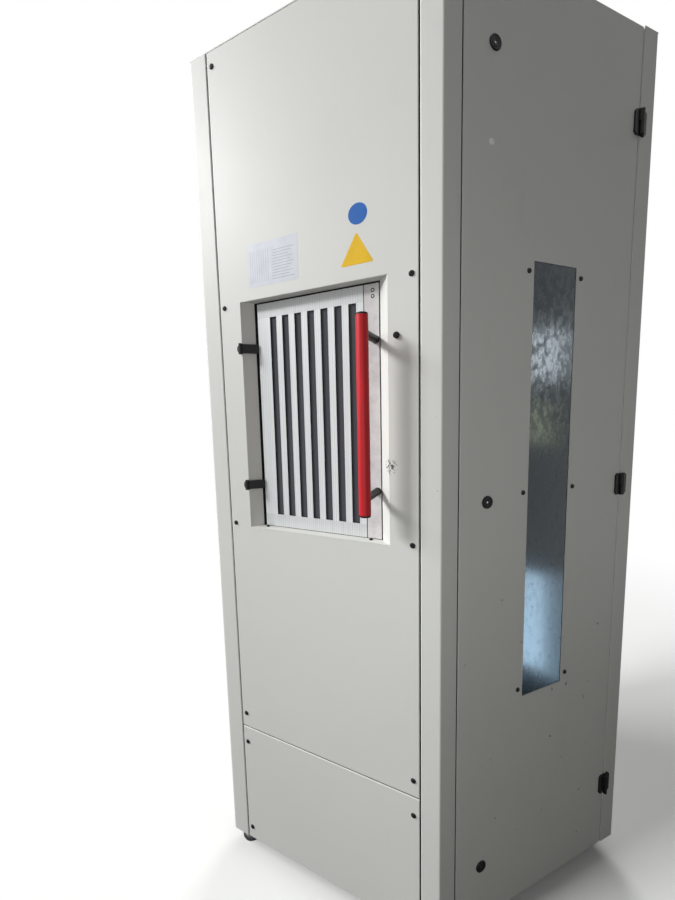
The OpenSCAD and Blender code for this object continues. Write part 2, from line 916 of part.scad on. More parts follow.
module lock_housing(z) {
    color(black_part) door_face() translate([lock_x, 0, floor_gap + z]) difference() {
        union() {
            inward(lock_neck_r, -cut, door_fold + 4);
            rotate([90, 0, 0]) cylinder(r1 = lock_r, r2 = lock_r - 1.5, h = lock_face_t);
            translate([0, sheet, 0]) rotate([-90, 0, 0])
                cylinder(r = lock_neck_r * 1.5, h = 6, $fn = 6);
        }
        inward(lock_shaft_r + running_gap, -10, door_fold + 10);
        difference() {
            inward(lock_groove_r + lock_groove_w, -lock_face_t - cut, -lock_face_t + 1);
            inward(lock_groove_r, -lock_face_t - 2 * cut, 0);
        }
    }
}

// A shaft with a square key recess in front; a quarter turn brings the cam behind the post's lip
module lock_cam(z) {
    color("silver") door_face() translate([lock_x, 0, floor_gap + z]) difference() {
        union() {
            inward(lock_shaft_r, -lock_face_t + 1, cam_y + cam_t + 2);
            translate([-cam_w / 2, cam_y, 0]) cube([cam_w, cam_t, cam_len]);
            inward(cam_w / 2, cam_y, cam_y + cam_t);
        }
        translate([-lock_key / 2, -lock_face_t, -lock_key / 2])
            cube([lock_key, lock_key, lock_key]);
    }
}

// Hatch

module hatch_slots() {
    for (i = [0:slot_count - 1])
        translate([slots_mid + (i - (slot_count - 1) / 2) * slot_pitch - slot_w / 2, 0,
            slots_mid_z - slot_h / 2]) cube([slot_w, 80, slot_h]);
}

module hatch_cover() {
    color(paint) hatch_face() difference() {
        translate([hatch_x0, recess_depth, hatch_z0]) cube([cover_w, cover_t, hatch_h]);
        hatch_slots();
    }
}

module hatch_edge_strip() {
    color(paint) hatch_face() difference() {
        translate([hatch_x1 - edge_strip_w, recess_depth, hatch_z0])
            cube([edge_strip_w, cover_t, hatch_h]);
        for (side = [-1, 1]) translate([handle_x, 0, floor_gap + handle_z + side * handle_leg_pitch / 2])
            inward(4.25, 0, 80);
    }
}

view_x0 = slots_mid - (slot_count / 2) * slot_pitch;
view_w = slot_count * slot_pitch;
view_h = slot_h + 20;

// A welded frame behind the cover, with a rebate for the pane
module hatch_leaf() {
    color(paint) hatch_face() difference() {
        translate([hatch_x0, leaf_y0, hatch_z0]) cube([hatch_w, leaf_t, hatch_h]);
        translate([view_x0, 0, slots_mid_z - view_h / 2]) cube([view_w, 80, view_h]);
        translate([view_x0 - 10, leaf_y0 - cut, slots_mid_z - view_h / 2 - 10])
            cube([view_w + 20, hatch_pane_t + cut, view_h + 20]);
        for (side = [-1, 1]) translate([handle_x, 0, floor_gap + handle_z + side * handle_leg_pitch / 2])
            inward(4.25, 0, 80);
    }
}

module hatch_pane() {
    color([0.16, 0.17, 0.18, 0.85]) hatch_face()
        translate([view_x0 - 10 + pane_gap, leaf_y0, slots_mid_z - view_h / 2 - 10 + pane_gap])
            cube([view_w + 20 - 2 * pane_gap, hatch_pane_t, view_h + 20 - 2 * pane_gap]);
}

module handle_tube() {
    color("firebrick") hatch_face()
        translate([handle_x, handle_y, floor_gap + handle_z - handle_len / 2]) difference() {
            cylinder(r = handle_r, h = handle_len);
            translate([0, 0, -cut]) cylinder(r = handle_r - handle_wall, h = handle_len + 2 * cut);
        }
}

module handle_legs() {
    color(black_part) hatch_face() for (side = [-1, 1])
        translate([handle_x, 0, floor_gap + handle_z + side * handle_leg_pitch / 2]) difference() {
            union() {
                inward(handle_leg_r, handle_y, recess_depth);
                inward(4, 0, leaf_y1 + 1);
            }
            translate([0, handle_y, -50]) cylinder(r = handle_r + saddle_gap, h = 100);
        }
}

module handle_caps() {
    color(black_part) hatch_face() translate([handle_x, handle_y, floor_gap + handle_z])
        for (side = [0, 1]) mirror([0, 0, side]) translate([0, 0, handle_len / 2]) {
            cylinder(r1 = handle_r, r2 = handle_r - 3, h = cap_h - 2);
            translate([0, 0, -12]) cylinder(r = handle_r - handle_wall - saddle_gap, h = 12 + cut);
        }
}

// Carousel

module carousel_pedestal() {
    arm_x1 = gear_distance + motor_box / 2;
    color(dark_paint) carousel_axis() difference() {
        union() {
            translate([0, 0, floor_gap]) cylinder(r = pedestal_flange_r, h = flange_t);
            translate([0, 0, floor_gap]) cylinder(r = pedestal_r, h = pedestal_top - floor_gap);
            translate([0, 0, pedestal_top - flange_t]) cylinder(r = pedestal_flange_r, h = flange_t);
            translate([0, -motor_box / 2, pedestal_top - flange_t])
                cube([arm_x1, motor_box, flange_t]);
            for (a = [45:90:315]) rotate([0, 0, a])
                translate([pedestal_r - 5, -rib_t / 2, floor_gap])
                    cube([rib_w, rib_t, pedestal_top - floor_gap - 5]);
        }
        translate([0, 0, pedestal_top - spigot_h - 2])
            cylinder(r = spigot_r + running_gap, h = spigot_h + 10);
        translate([0, 0, floor_gap - cut])
            cylinder(r = bearing_bore_r, h = pedestal_top - spigot_h - floor_gap + 2 * cut);
        translate([gear_distance, 0, pedestal_top - 40]) cylinder(r = arm_bore_r, h = 50);
    }
}

module carousel_motor() {
    box_z1 = pedestal_top - flange_t;
    color("slategray") carousel_axis() translate([gear_distance, 0, 0]) difference() {
        union() {
            translate([-motor_box / 2, -motor_box / 2, box_z1 - motor_box_h])
                cube([motor_box, motor_box, motor_box_h]);
            translate([0, 0, floor_gap]) cylinder(r = motor_r, h = box_z1 - floor_gap - 5);
            for (i = [0:9]) translate([0, 0, floor_gap + 40 + i * motor_fin_step])
                cylinder(r = motor_fin_r, h = motor_fin_t);
        }
        translate([0, 0, box_z1 - 30]) cylinder(r = pinion_shaft_r + running_gap, h = 40);
    }
}

module top_bearing() {
    z1 = wall_top - beam_h;
    color("slategray") carousel_axis() difference() {
        union() {
            translate([0, 0, z1 - 14]) cylinder(r = bearing_r, h = 14);
            translate([0, 0, z1 - 45]) cylinder(r = bearing_r - 18, h = 40);
        }
        translate([0, 0, z1 - 60]) cylinder(r = top_spigot_r + running_gap, h = 58);
    }
}

module carousel_column() {
    z0 = pedestal_top + seat_gap;
    color("lightsteelblue") carousel_axis() difference() {
        union() {
            translate([0, 0, pedestal_top - spigot_h]) cylinder(r = spigot_r, h = spigot_h + cut);
            translate([0, 0, z0]) cylinder(r = turn_disc_r, h = turn_disc_t);
            translate([0, 0, z0]) cylinder(r = column_r, h = column_top - z0);
            translate([0, 0, column_top - cut])
                cylinder(r = top_spigot_r, h = wall_top - beam_h - 6 - column_top);
        }
        translate([0, 0, z0 + 20]) cylinder(r = column_r - column_wall, h = column_top - z0 - 30);
        translate([0, 0, pedestal_top - spigot_h - cut])
            cylinder(r = bearing_bore_r, h = spigot_h + turn_disc_t + 40);
    }
}

// Each disc sits on the column and carries one ring of forks
module ring_discs() {
    color("lightslategray") carousel_axis() for (i = [0:2])
        translate([0, 0, ring_low_z + i * ring_pitch - fork_t / 2 - disc_t]) difference() {
            cylinder(r = disc_r, h = disc_t);
            translate([0, 0, -cut]) cylinder(r = column_r + running_gap, h = disc_t + 2 * cut);
            for (k = [0:fork_count - 1]) rotate([0, 0, (k + 0.5) * 360 / fork_count])
                translate([(column_r + disc_r) / 2 + 12, 0, -cut])
                    cylinder(r = disc_hole_r, h = disc_t + 2 * cut);
        }
}

module fork_outline() {
    difference() {
        polygon([
            [fork_root_r, -fork_root_w / 2 + 6],
            [fork_root_r + 6, -fork_root_w / 2],
            [disc_r, -fork_root_w / 2],
            [disc_r + 14, -fork_w / 2],
            [fork_tip_r - 14, -fork_w / 2],
            [fork_tip_r, -fork_mouth_w / 2 - 8],
            [fork_tip_r, fork_mouth_w / 2 + 8],
            [fork_tip_r - 14, fork_w / 2],
            [disc_r + 14, fork_w / 2],
            [disc_r, fork_root_w / 2],
            [fork_root_r + 6, fork_root_w / 2],
            [fork_root_r, fork_root_w / 2 - 6]
        ]);
        translate([tool_circle_r, 0]) circle(r = fork_seat_r);
        translate([tool_circle_r, -fork_mouth_w / 2]) square([60, fork_mouth_w]);
    }
}

module tool_forks(i) {
    color(black_part) carousel_axis() translate([0, 0, ring_low_z + i * ring_pitch - fork_t / 2])
        for (k = [0:fork_count - 1]) rotate([0, 0, 180 + k * 360 / fork_count])
            linear_extrude(fork_t) fork_outline();
}

// Involute gear outline: the flank angle at radius r, from the base circle
function flank_angle(r, base) = sqrt(pow(r / base, 2) - 1) * 180 / PI - acos(base / r);

function tooth_points(n, m, shift) = let (
    rp = n * m / 2,
    base = rp * cos(pressure),
    root = rp - 1.2 * m,
    tip = rp + 0.95 * m,
    half = 90 / n - backlash / rp * 90 / PI + flank_angle(rp, base),
    radii = [for (q = [0, 0.3, 0.65, 1]) let (low = max(base * 1.0005, root)) low + q * (tip - low)]
) [
    for (k = [0:n - 1]) let (mid = shift + k * 360 / n) each concat(
        [root * [cos(mid - half), sin(mid - half)]],
        [for (r = radii) let (a = mid - half + flank_angle(r, base)) r * [cos(a), sin(a)]],
        [for (j = [3:-1:0]) let (r = radii[j], a = mid + half - flank_angle(r, base))
            r * [cos(a), sin(a)]],
        [root * [cos(mid + half), sin(mid + half)]]
    )
];

module ring_gear() {
    color("lightslategray") carousel_axis() translate([0, 0, gear_z0]) linear_extrude(gear_w)
        difference() {
            polygon(tooth_points(gear_teeth, gear_module, 0));
            circle(r = gear_bore_r);
        }
}

// A tooth gap faces the ring gear's tooth
module drive_pinion() {
    color("silver") carousel_axis() translate([gear_distance, 0, 0]) {
        translate([0, 0, gear_z0]) linear_extrude(gear_w)
            polygon(tooth_points(pinion_teeth, gear_module, 180 + 180 / pinion_teeth));
        translate([0, 0, pedestal_top - flange_t - 28])
            cylinder(r = pinion_shaft_r, h = gear_z0 + gear_w + 4 - pedestal_top + flange_t + 28);
    }
}

// Lift

module lift_column() {
    groove = lift_groove_w;
    depth = lift_groove_d;
    color("silver") plan() translate([lift_x0, lift_y0, floor_gap]) difference() {
        cube([lift_w, lift_w, wall_h]);
        for (s = [lift_w / 4, 3 * lift_w / 4]) {
            translate([s - groove / 2, -cut, -cut]) cube([groove, depth + cut, wall_h + 2 * cut]);
            translate([-cut, s - groove / 2, -cut]) cube([depth + cut, groove, wall_h + 2 * cut]);
            translate([s - groove / 2, lift_w - depth, -cut])
                cube([groove, depth + cut, wall_h + 2 * cut]);
            translate([lift_w - depth, s - groove / 2, -cut])
                cube([depth + cut, groove, wall_h + 2 * cut]);
        }
        translate([lift_w / 2, lift_w / 2, -cut]) cylinder(r = lift_bore_r, h = wall_h + 2 * cut);
    }
}

module lift_motor() {
    z = wall_top - lift_motor_drop;
    color("slategray") plan() translate([lift_x0, lift_y0 + lift_w / 2, z]) rotate([0, -90, 0]) {
        translate([-lift_gear_h / 2, -lift_gear_w / 2, 0]) cube([lift_gear_h, lift_gear_w, lift_gear_w]);
        translate([0, 0, lift_gear_w - cut]) cylinder(r = lift_motor_r, h = 110);
        for (i = [0:7]) translate([0, 0, lift_gear_w + 12 + i * 11])
            cylinder(r = lift_motor_r + 3, h = 4);
    }
}

// A plate that hugs the column's front and a cross rail for the gripper
module lift_carriage() {
    plate_y1 = lift_y0 - carriage_gap;
    color("slategray") plan() translate([0, 0, jaw_z]) {
        translate([lift_x0 + lift_w / 2 - carriage_w / 2, plate_y1 - carriage_t, -carriage_h / 2])
            cube([carriage_w, carriage_t, carriage_h]);
        for (x = [lift_x0 - shoe_w - shoe_gap, lift_x0 + lift_w + shoe_gap])
            translate([x, plate_y1 - carriage_t, -carriage_h / 2])
                cube([shoe_w, carriage_t + 40, carriage_h]);
        translate([rail_x0, plate_y1 - carriage_t - rail_t + cut, -rail_h / 2])
            cube([rail_x1 - rail_x0, rail_t, rail_h]);
        translate([rail_x0, plate_y1 - carriage_t - rail_t + cut - strip_d, -strip_h / 2])
            cube([rail_x1 - rail_x0, strip_d + cut, strip_h]);
    }
}

module tool_gripper() {
    rail_y = lift_y0 - carriage_gap - carriage_t - rail_t + cut;
    block_y0 = rail_y - strip_d - block_t + 8;
    color(black_part) plan() translate([0, 0, jaw_z]) difference() {
        union() {
            translate([block_x0, block_y0, -block_h / 2])
                cube([block_w, block_t + strip_d - 8 - shoe_gap, block_h]);
            translate([0, 0, -jaw_t / 2]) linear_extrude(jaw_t) polygon([
                [block_x0, block_y0 + 10],
                [block_x0 + block_w, block_y0 + 10],
                [block_x0 + block_w, carousel_y + jaw_w / 2 + 22],
                [jaw_x - 20, carousel_y + jaw_w / 2],
                [jaw_x + jaw_tip - 8, carousel_y + jaw_w / 2],
                [jaw_x + jaw_tip, carousel_y + jaw_w / 2 - 10],
                [jaw_x + jaw_tip, carousel_y - jaw_w / 2 + 10],
                [jaw_x + jaw_tip - 8, carousel_y - jaw_w / 2],
                [jaw_x - 30, carousel_y - jaw_w / 2],
                [block_x0, carousel_y - 10]
            ]);
        }
        translate([jaw_x, carousel_y, -20]) cylinder(r = jaw_seat_r, h = 40);
        translate([jaw_x, carousel_y - jaw_seat_r + 2, -20]) cube([60, 2 * jaw_seat_r - 4, 40]);
        translate([block_x0 - cut, rail_y - strip_d - shoe_gap, -strip_h / 2 - shoe_gap])
            cube([block_w + 2 * cut, 20, strip_h + 2 * shoe_gap]);
    }
}

base_plate();
levelling_feet();
post_near();
post_left();
post_right();
post_rear();
roof_panel();
upper_front_panel();
lower_front_panel();
hatch_frame();
end_panel();
back_panel_left();
back_panel_right();
panel_screws();
hatch_bumper();
hatch_switch();
door_hinge_base(door_hinge_z - door_hinge_pitch);  // door_hinge_base_1
door_hinge_base(door_hinge_z);  // door_hinge_base_2
door_hinge_base(door_hinge_z + door_hinge_pitch);  // door_hinge_base_3
hatch_hinge_base(hatch_mid_z - hatch_hinge_pitch / 2);  // hatch_hinge_base_lower
hatch_hinge_base(hatch_mid_z + hatch_hinge_pitch / 2);  // hatch_hinge_base_upper
side_door();
door_window();
window_retainer();
window_screws();
door_seal();
door_plug();
door_hinge_leaf(door_hinge_z - door_hinge_pitch);  // door_hinge_leaf_1
door_hinge_leaf(door_hinge_z);  // door_hinge_leaf_2
door_hinge_leaf(door_hinge_z + door_hinge_pitch);  // door_hinge_leaf_3
lock_housing(lock_z - lock_pitch);  // lock_housing_1
lock_housing(lock_z);  // lock_housing_2
lock_housing(lock_z + lock_pitch);  // lock_housing_3
lock_cam(lock_z - lock_pitch);  // lock_cam_1
lock_cam(lock_z);  // lock_cam_2
lock_cam(lock_z + lock_pitch);  // lock_cam_3
hatch_leaf();
hatch_cover();
hatch_edge_strip();
hatch_pane();
hatch_actuator();
hatch_hinge_arm(hatch_mid_z - hatch_hinge_pitch / 2);  // hatch_hinge_arm_lower
hatch_hinge_arm(hatch_mid_z + hatch_hinge_pitch / 2);  // hatch_hinge_arm_upper
handle_tube();
handle_legs();
handle_caps();
carousel_pedestal();
carousel_motor();
top_bearing();
carousel_column();
ring_discs();
tool_forks(0);  // tool_forks_1
tool_forks(1);  // tool_forks_2
tool_forks(2);  // tool_forks_3
ring_gear();
drive_pinion();
lift_column();
lift_motor();
lift_carriage();
tool_gripper();
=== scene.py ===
import math

import bmesh
import bpy
from mathutils import Matrix, Vector


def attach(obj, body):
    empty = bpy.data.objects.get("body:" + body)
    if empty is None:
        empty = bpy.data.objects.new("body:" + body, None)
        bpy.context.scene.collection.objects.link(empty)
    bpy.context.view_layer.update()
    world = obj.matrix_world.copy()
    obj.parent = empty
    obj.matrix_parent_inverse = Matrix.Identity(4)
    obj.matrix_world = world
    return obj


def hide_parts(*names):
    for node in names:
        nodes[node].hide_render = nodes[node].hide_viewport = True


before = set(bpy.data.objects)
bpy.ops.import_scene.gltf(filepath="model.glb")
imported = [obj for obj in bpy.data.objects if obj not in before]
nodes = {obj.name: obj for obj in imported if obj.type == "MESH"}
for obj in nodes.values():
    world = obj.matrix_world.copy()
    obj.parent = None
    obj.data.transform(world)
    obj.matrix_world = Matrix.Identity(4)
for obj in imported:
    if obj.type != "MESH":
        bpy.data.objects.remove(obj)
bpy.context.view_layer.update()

# The five-sided plan, in millimetres
plan = {
    "doorFace": 810.0,
    "hatchFace": 810.0,
    "sideReturn": 67.0,
    "hingeOut": 14.5,
    "floorGap": 60.0,
}
faceTurn = math.radians(45)
quarterTurn = math.radians(90)
hatchLeg = plan["hatchFace"] * math.cos(faceTurn)
towerLength = hatchLeg + plan["doorFace"]
towerDepth = hatchLeg + plan["sideReturn"]
toMetres = Matrix.Scale(0.001, 4)

# On every face x runs along it, y inwards and z up
planPlace = toMetres @ Matrix.Translation((-towerLength / 2, -(towerDepth - plan["hingeOut"]) / 2, 0))
doorPlace = planPlace @ Matrix.Translation((hatchLeg, 0, 0))
hatchPlace = planPlace @ Matrix.Translation((0, hatchLeg, 0)) @ Matrix.Rotation(-faceTurn, 4, "Z")
endPlace = planPlace @ Matrix.Translation((towerLength, 0, 0)) @ Matrix.Rotation(quarterTurn, 4, "Z")
backCorner = Matrix.Translation((towerLength, towerDepth, 0))
backPlace = planPlace @ backCorner @ Matrix.Rotation(2 * quarterTurn, 4, "Z")

# A lathe's axis is z; these turn it out of the face or into it
outwards = Matrix.Rotation(quarterTurn, 4, "X")
inwards = Matrix.Rotation(-quarterTurn, 4, "X")
tolerance = 0.05


# Camera

def makeCamera():
    view = {
        "lens": 14.108,
        "sensor": 36,
        "nearest": 0.02,
        "yaw": 20.382,
        "pitch": 5.697,
        "roll": 1.4208,
        "fromCorner": (-594.21, -790.63, 1670.52),
    }
    yaw, pitch, roll = (math.radians(view[k]) for k in ("yaw", "pitch", "roll"))
    ahead = Vector((math.sin(yaw), math.cos(yaw), 0))
    down = Vector((0, 0, -1))
    right = Vector((math.cos(yaw), -math.sin(yaw), 0))
    look = ahead * math.cos(pitch) + down * math.sin(pitch)
    low = down * math.cos(pitch) - ahead * math.sin(pitch)
    side = right * math.cos(roll) + low * math.sin(roll)
    low = low * math.cos(roll) - right * math.sin(roll)
    data = bpy.data.cameras.new("camera")
    data.lens = view["lens"]
    data.sensor_width = view["sensor"]
    data.clip_start = view["nearest"]
    camera = bpy.data.objects.new("camera", data)
    turn = Matrix((side, -low, -look)).transposed().to_4x4()
    corner = doorPlace @ Vector((0, 0, plan["floorGap"]))
    spot = corner + Vector(view["fromCorner"]) * 0.001
    camera.matrix_world = Matrix.Translation(spot) @ turn
    bpy.context.scene.collection.objects.link(camera)
    bpy.context.scene.camera = camera


makeCamera()
print("camera set")


# Finishes

class Wire:
    # A node's output that can be reckoned with
    def __init__(self, finish, socket):
        self.finish = finish
        self.socket = socket

    def reckon(self, operation, first, second):
        return self.finish.node("ShaderNodeMath", {"operation": operation}, {0: first, 1: second})

    def __add__(self, other):
        return self.reckon("ADD", self, other)

    def __radd__(self, other):
        return self.reckon("ADD", other, self)

    def __rsub__(self, other):
        return self.reckon("SUBTRACT", other, self)

    def __mul__(self, other):
        return self.reckon("MULTIPLY", self, other)

    def __rmul__(self, other):
        return self.reckon("MULTIPLY", other, self)

    def __gt__(self, other):
        return self.reckon("GREATER_THAN", self, other)

    def __lt__(self, other):
        return self.reckon("LESS_THAN", self, other)


class Finish:
    inputNames = {
        "baseColor": "Base Color",
        "coatWeight": "Coat Weight",
        "coatRoughness": "Coat Roughness",
        "specular": "Specular IOR Level",
    }

    def __init__(self, name):
        self.material = bpy.data.materials.new(name)
        self.material.use_nodes = True
        self.tree = self.material.node_tree
        self.shader = self.tree.nodes["Principled BSDF"]
        self.coords = self.node("ShaderNodeTexCoord", {}, {}, "Object")

    def node(self, kind, settings, inputs, output=0):
        made = self.tree.nodes.new(kind)
        for key, value in settings.items():
            if key == "stops":
                ramp = made.color_ramp
                while len(ramp.elements) < len(value):
                    ramp.elements.new(1)
                for element, (place, colour) in zip(ramp.elements, value):
                    element.position = place
                    element.color = colour if hasattr(colour, "__len__") else (colour, colour, colour, 1)
            else:
                setattr(made, key, value)
        for key, value in inputs.items():
            self.feed(made.inputs[key], value)
        return Wire(self, made.outputs[output])

    def feed(self, socket, value):
        if isinstance(value, Wire):
            self.tree.links.new(value.socket, socket)
        elif hasattr(value, "__len__") and len(value) == 3 and socket.type == "RGBA":
            socket.default_value = (*value, 1)
        else:
            socket.default_value = value

    def set(self, **values):
        for key, value in values.items():
            self.feed(self.shader.inputs[self.inputNames.get(key, key.capitalize())], value)

    def mapped(self, scale, turn=(0, 0, 0)):
        return self.node("ShaderNodeMapping", {}, {"Vector": self.coords, "Scale": scale, "Rotation": turn})

    def noise(self, scale, detail, rough, vector=None):
        return self.node("ShaderNodeTexNoise", {}, {
            "Vector": vector or self.coords, "Scale": scale, "Detail": detail, "Roughness": rough})

    def ramp(self, factor, *stops):
        return self.node("ShaderNodeValToRGB", {"stops": stops}, {"Fac": factor})

    def blots(self, factor, level, full):
        # Nothing below the level, and the whole from full upwards
        return self.ramp(factor, (level, 0.0), (full, 1.0))

    def shades(self, factor, colour, dark, light):
        # Dark and light each hold a place on the ramp and what the colour is multiplied by there
        stops = [(place, tuple(min(1, c * times) for c in colour) + (1,)) for place, times in (dark, light)]
        return self.ramp(factor, *stops)

    def blend(self, factor, first, second):
        return self.node("ShaderNodeMix", {"data_type": "RGBA"}, {0: factor, 6: first, 7: second}, 2)

    def near(self, point, low, high):
        # One within the low distance of the point, and zero beyond the high one
        away = self.node("ShaderNodeVectorMath", {"operation": "DISTANCE"}, {0: self.coords, 1: point}, 1)
        return self.node("ShaderNodeMapRange", {}, {
            "Value": away, "From Min": low, "From Max": high, "To Min": 1.0, "To Max": 0.0})

    def bump(self, height, strength, depth):
        return self.node("ShaderNodeBump", {}, {"Height": height, "Strength": strength, "Distance": depth})


def powderCoat(name, colour, dirt, chips):
    dust = (0.36, 0.345, 0.31)
    bare = (0.07, 0.068, 0.065)
    f = Finish(name)
    grain = f.noise(scale=900, detail=3, rough=0.6)
    cloud = f.noise(scale=1.7, detail=3, rough=0.55)
    smear = f.noise(scale=7, detail=6, rough=0.68, vector=f.mapped((1.3, 1.3, 0.7)))
    smudge = f.blots(smear, 0.58, 0.78) * (0.07 * dirt)
    speck = f.blots(f.noise(scale=240, detail=1, rough=0.4), 0.775, 0.80) * (0.16 * dirt)
    shade = f.shades(cloud, colour, (0.3, 0.97), (0.7, 1.01))
    tint = f.blend(smudge + speck, shade, dust)
    patches = f.noise(scale=chips["scale"], detail=2, rough=0.5)
    flakes = f.blots(patches, chips["level"], chips["level"] + chips["soft"])
    mask = f.near(chips["at"], chips["core"], chips["reach"]) * flakes
    tint = f.blend(mask, tint, bare)
    rough = 0.40 + 0.10 * grain + 0.10 * smear
    f.set(baseColor=tint, roughness=rough, specular=0.45, normal=f.bump(grain, strength=0.22, depth=0.0004))
    return f.material


def plainCoat(name, colour, rough, grainScale=900, grainDepth=0.15, wear=None, specular=0.5):
    f = Finish(name)
    grain = f.noise(scale=grainScale, detail=2, rough=0.55)
    cloud = f.noise(scale=22, detail=4, rough=0.6)
    tint = f.shades(cloud, colour, (0.3, 0.82), (0.75, 1.16))
    if wear:
        mask = f.blots(f.noise(scale=75, detail=6, rough=0.7), 0.63, 0.70) * 0.2
        tint = f.blend(mask, tint, wear)
    f.set(baseColor=tint, roughness=rough - 0.06 + 0.12 * cloud, specular=specular,
          normal=f.bump(grain, strength=grainDepth, depth=0.0004))
    return f.material


def brushedMetal(name, colour, rough, along, scale):
    f = Finish(name)
    lines = f.noise(scale=scale, detail=2, rough=0.6, vector=f.mapped(along))
    cloud = f.noise(scale=9, detail=3, rough=0.5)
    tint = f.shades(lines, colour, (0.3, 0.86), (0.7, 1.06))
    f.set(baseColor=tint, roughness=rough - 0.05 + 0.12 * lines + 0.05 * cloud, metallic=1.0,
          normal=f.bump(lines, strength=0.12, depth=0.0003))
    return f.material


def tubeCoat(name, dark, light, scuffed):
    f = Finish(name)
    cloud = f.noise(scale=14, detail=4, rough=0.6, vector=f.mapped((1, 1, 0.35)))
    scuff = f.blots(f.noise(scale=55, detail=6, rough=0.72, vector=f.mapped((1, 1, 0.2))), 0.64, 0.72) * 0.25
    tint = f.ramp(cloud, (0.3, (*dark, 1)), (0.75, (*light, 1)))
    tint = f.blend(scuff, tint, scuffed)
    f.set(baseColor=tint, roughness=0.38 + 0.12 * cloud, specular=0.3,
          normal=f.bump(f.noise(scale=800, detail=2, rough=0.5), strength=0.06, depth=0.0003))
    return f.material


def smokedPane(name, colour, alpha, filmAndSheen, gloss, smear):
    # Hand-wiped film lies over the clean pane and dulls its coat in blots, most of all near the smear; its
    # bluish tint is partly real haze and partly a painted sheen standing in for reflected light
    filmAndSheenTint = (0.10, 0.13, 0.15)
    f = Finish(name)
    wipe = f.noise(scale=58, detail=7, rough=0.68, vector=f.mapped((1.2, 1.2, 0.7), (0, 0.2, 0)))
    film = f.blots(wipe, 0.44, 0.62) * (0.2 + 0.8 * f.near(smear, 0.14, 0.32))
    speck = f.blots(f.noise(scale=420, detail=1, rough=0.4), 0.75, 0.79)
    tint = f.blend(film * filmAndSheen + speck * (filmAndSheen * 0.3), colour, filmAndSheenTint)
    f.set(baseColor=tint, roughness=0.26 + 0.08 * film, alpha=alpha, specular=0.18 * gloss,
          coatWeight=(1.0 - 0.85 * film) * gloss, coatRoughness=0.15)
    f.material.surface_render_method = "BLENDED"
    return f.material


def slatCoat(name, colour, slots):
    # Fine flutes run down the cover; the wave texture's own pitch is a twentieth of two pi
    flutePitch = 0.0079
    shaded = (0.34, 0.345, 0.35)
    f = Finish(name)
    along = f.mapped((1, 1, 1), (0, 0, faceTurn))
    waves = f.node("ShaderNodeTexWave", {"wave_type": "BANDS", "bands_direction": "X"}, {
        "Vector": along, "Scale": 2 * math.pi / 20 / flutePitch, "Distortion": 0.0})
    groove = f.ramp(waves, (0.0, 1.0), (0.10, 0.0))
    cloud = f.noise(scale=7, detail=3, rough=0.5)
    streak = f.noise(scale=260, detail=2, rough=0.5, vector=f.mapped((1, 1, 0.01)))
    face = f.shades(streak, colour, (0.35, 0.95), (0.65, 1.03))
    # Painted shade: the flute grooves and the cover's top and bottom borders, above and below the slots, are
    # darkened towards the shaded colour
    height = f.node("ShaderNodeSeparateXYZ", {}, {0: f.coords}, 2)
    shadedEnds = (height < slots[0]) + (height > slots[1])
    tint = f.blend(groove * 0.42 + shadedEnds * 0.22, face, shaded)
    f.set(baseColor=tint, roughness=0.30 + 0.12 * cloud, metallic=0.1,
          normal=f.bump(1.0 - groove, strength=0.25, depth=0.0006))
    return f.material


def printed(name, colour, rough=0.32):
    f = Finish(name)
    cloud = f.noise(scale=30, detail=3, rough=0.5)
    tint = f.shades(cloud, colour, (0.3, 0.93), (0.7, 1.03))
    f.set(baseColor=tint, roughness=rough + 0.08 * cloud, specular=0.35)
    return f.material


# Where hands, tools and boots have worn the paint, and where the window was wiped and carries painted sheen
recessEdge = tuple(hatchPlace @ Vector((664, 1, 1579)))
nearPost = tuple(doorPlace @ Vector((10, 0, 1500)))
lowDoor = tuple(doorPlace @ Vector((430, 0, 520)))
windowFilmAndSheen = tuple(doorPlace @ Vector((402, 0, 1890)))
recessChips = {"at": recessEdge, "core": 0.014, "reach": 0.027, "level": 0.54, "scale": 150, "soft": 0.02}
postChips = {"at": nearPost, "core": 0.10, "reach": 0.50, "level": 0.735, "scale": 90, "soft": 0.04}
doorChips = {"at": lowDoor, "core": 0.25, "reach": 0.95, "level": 0.735, "scale": 34, "soft": 0.07}

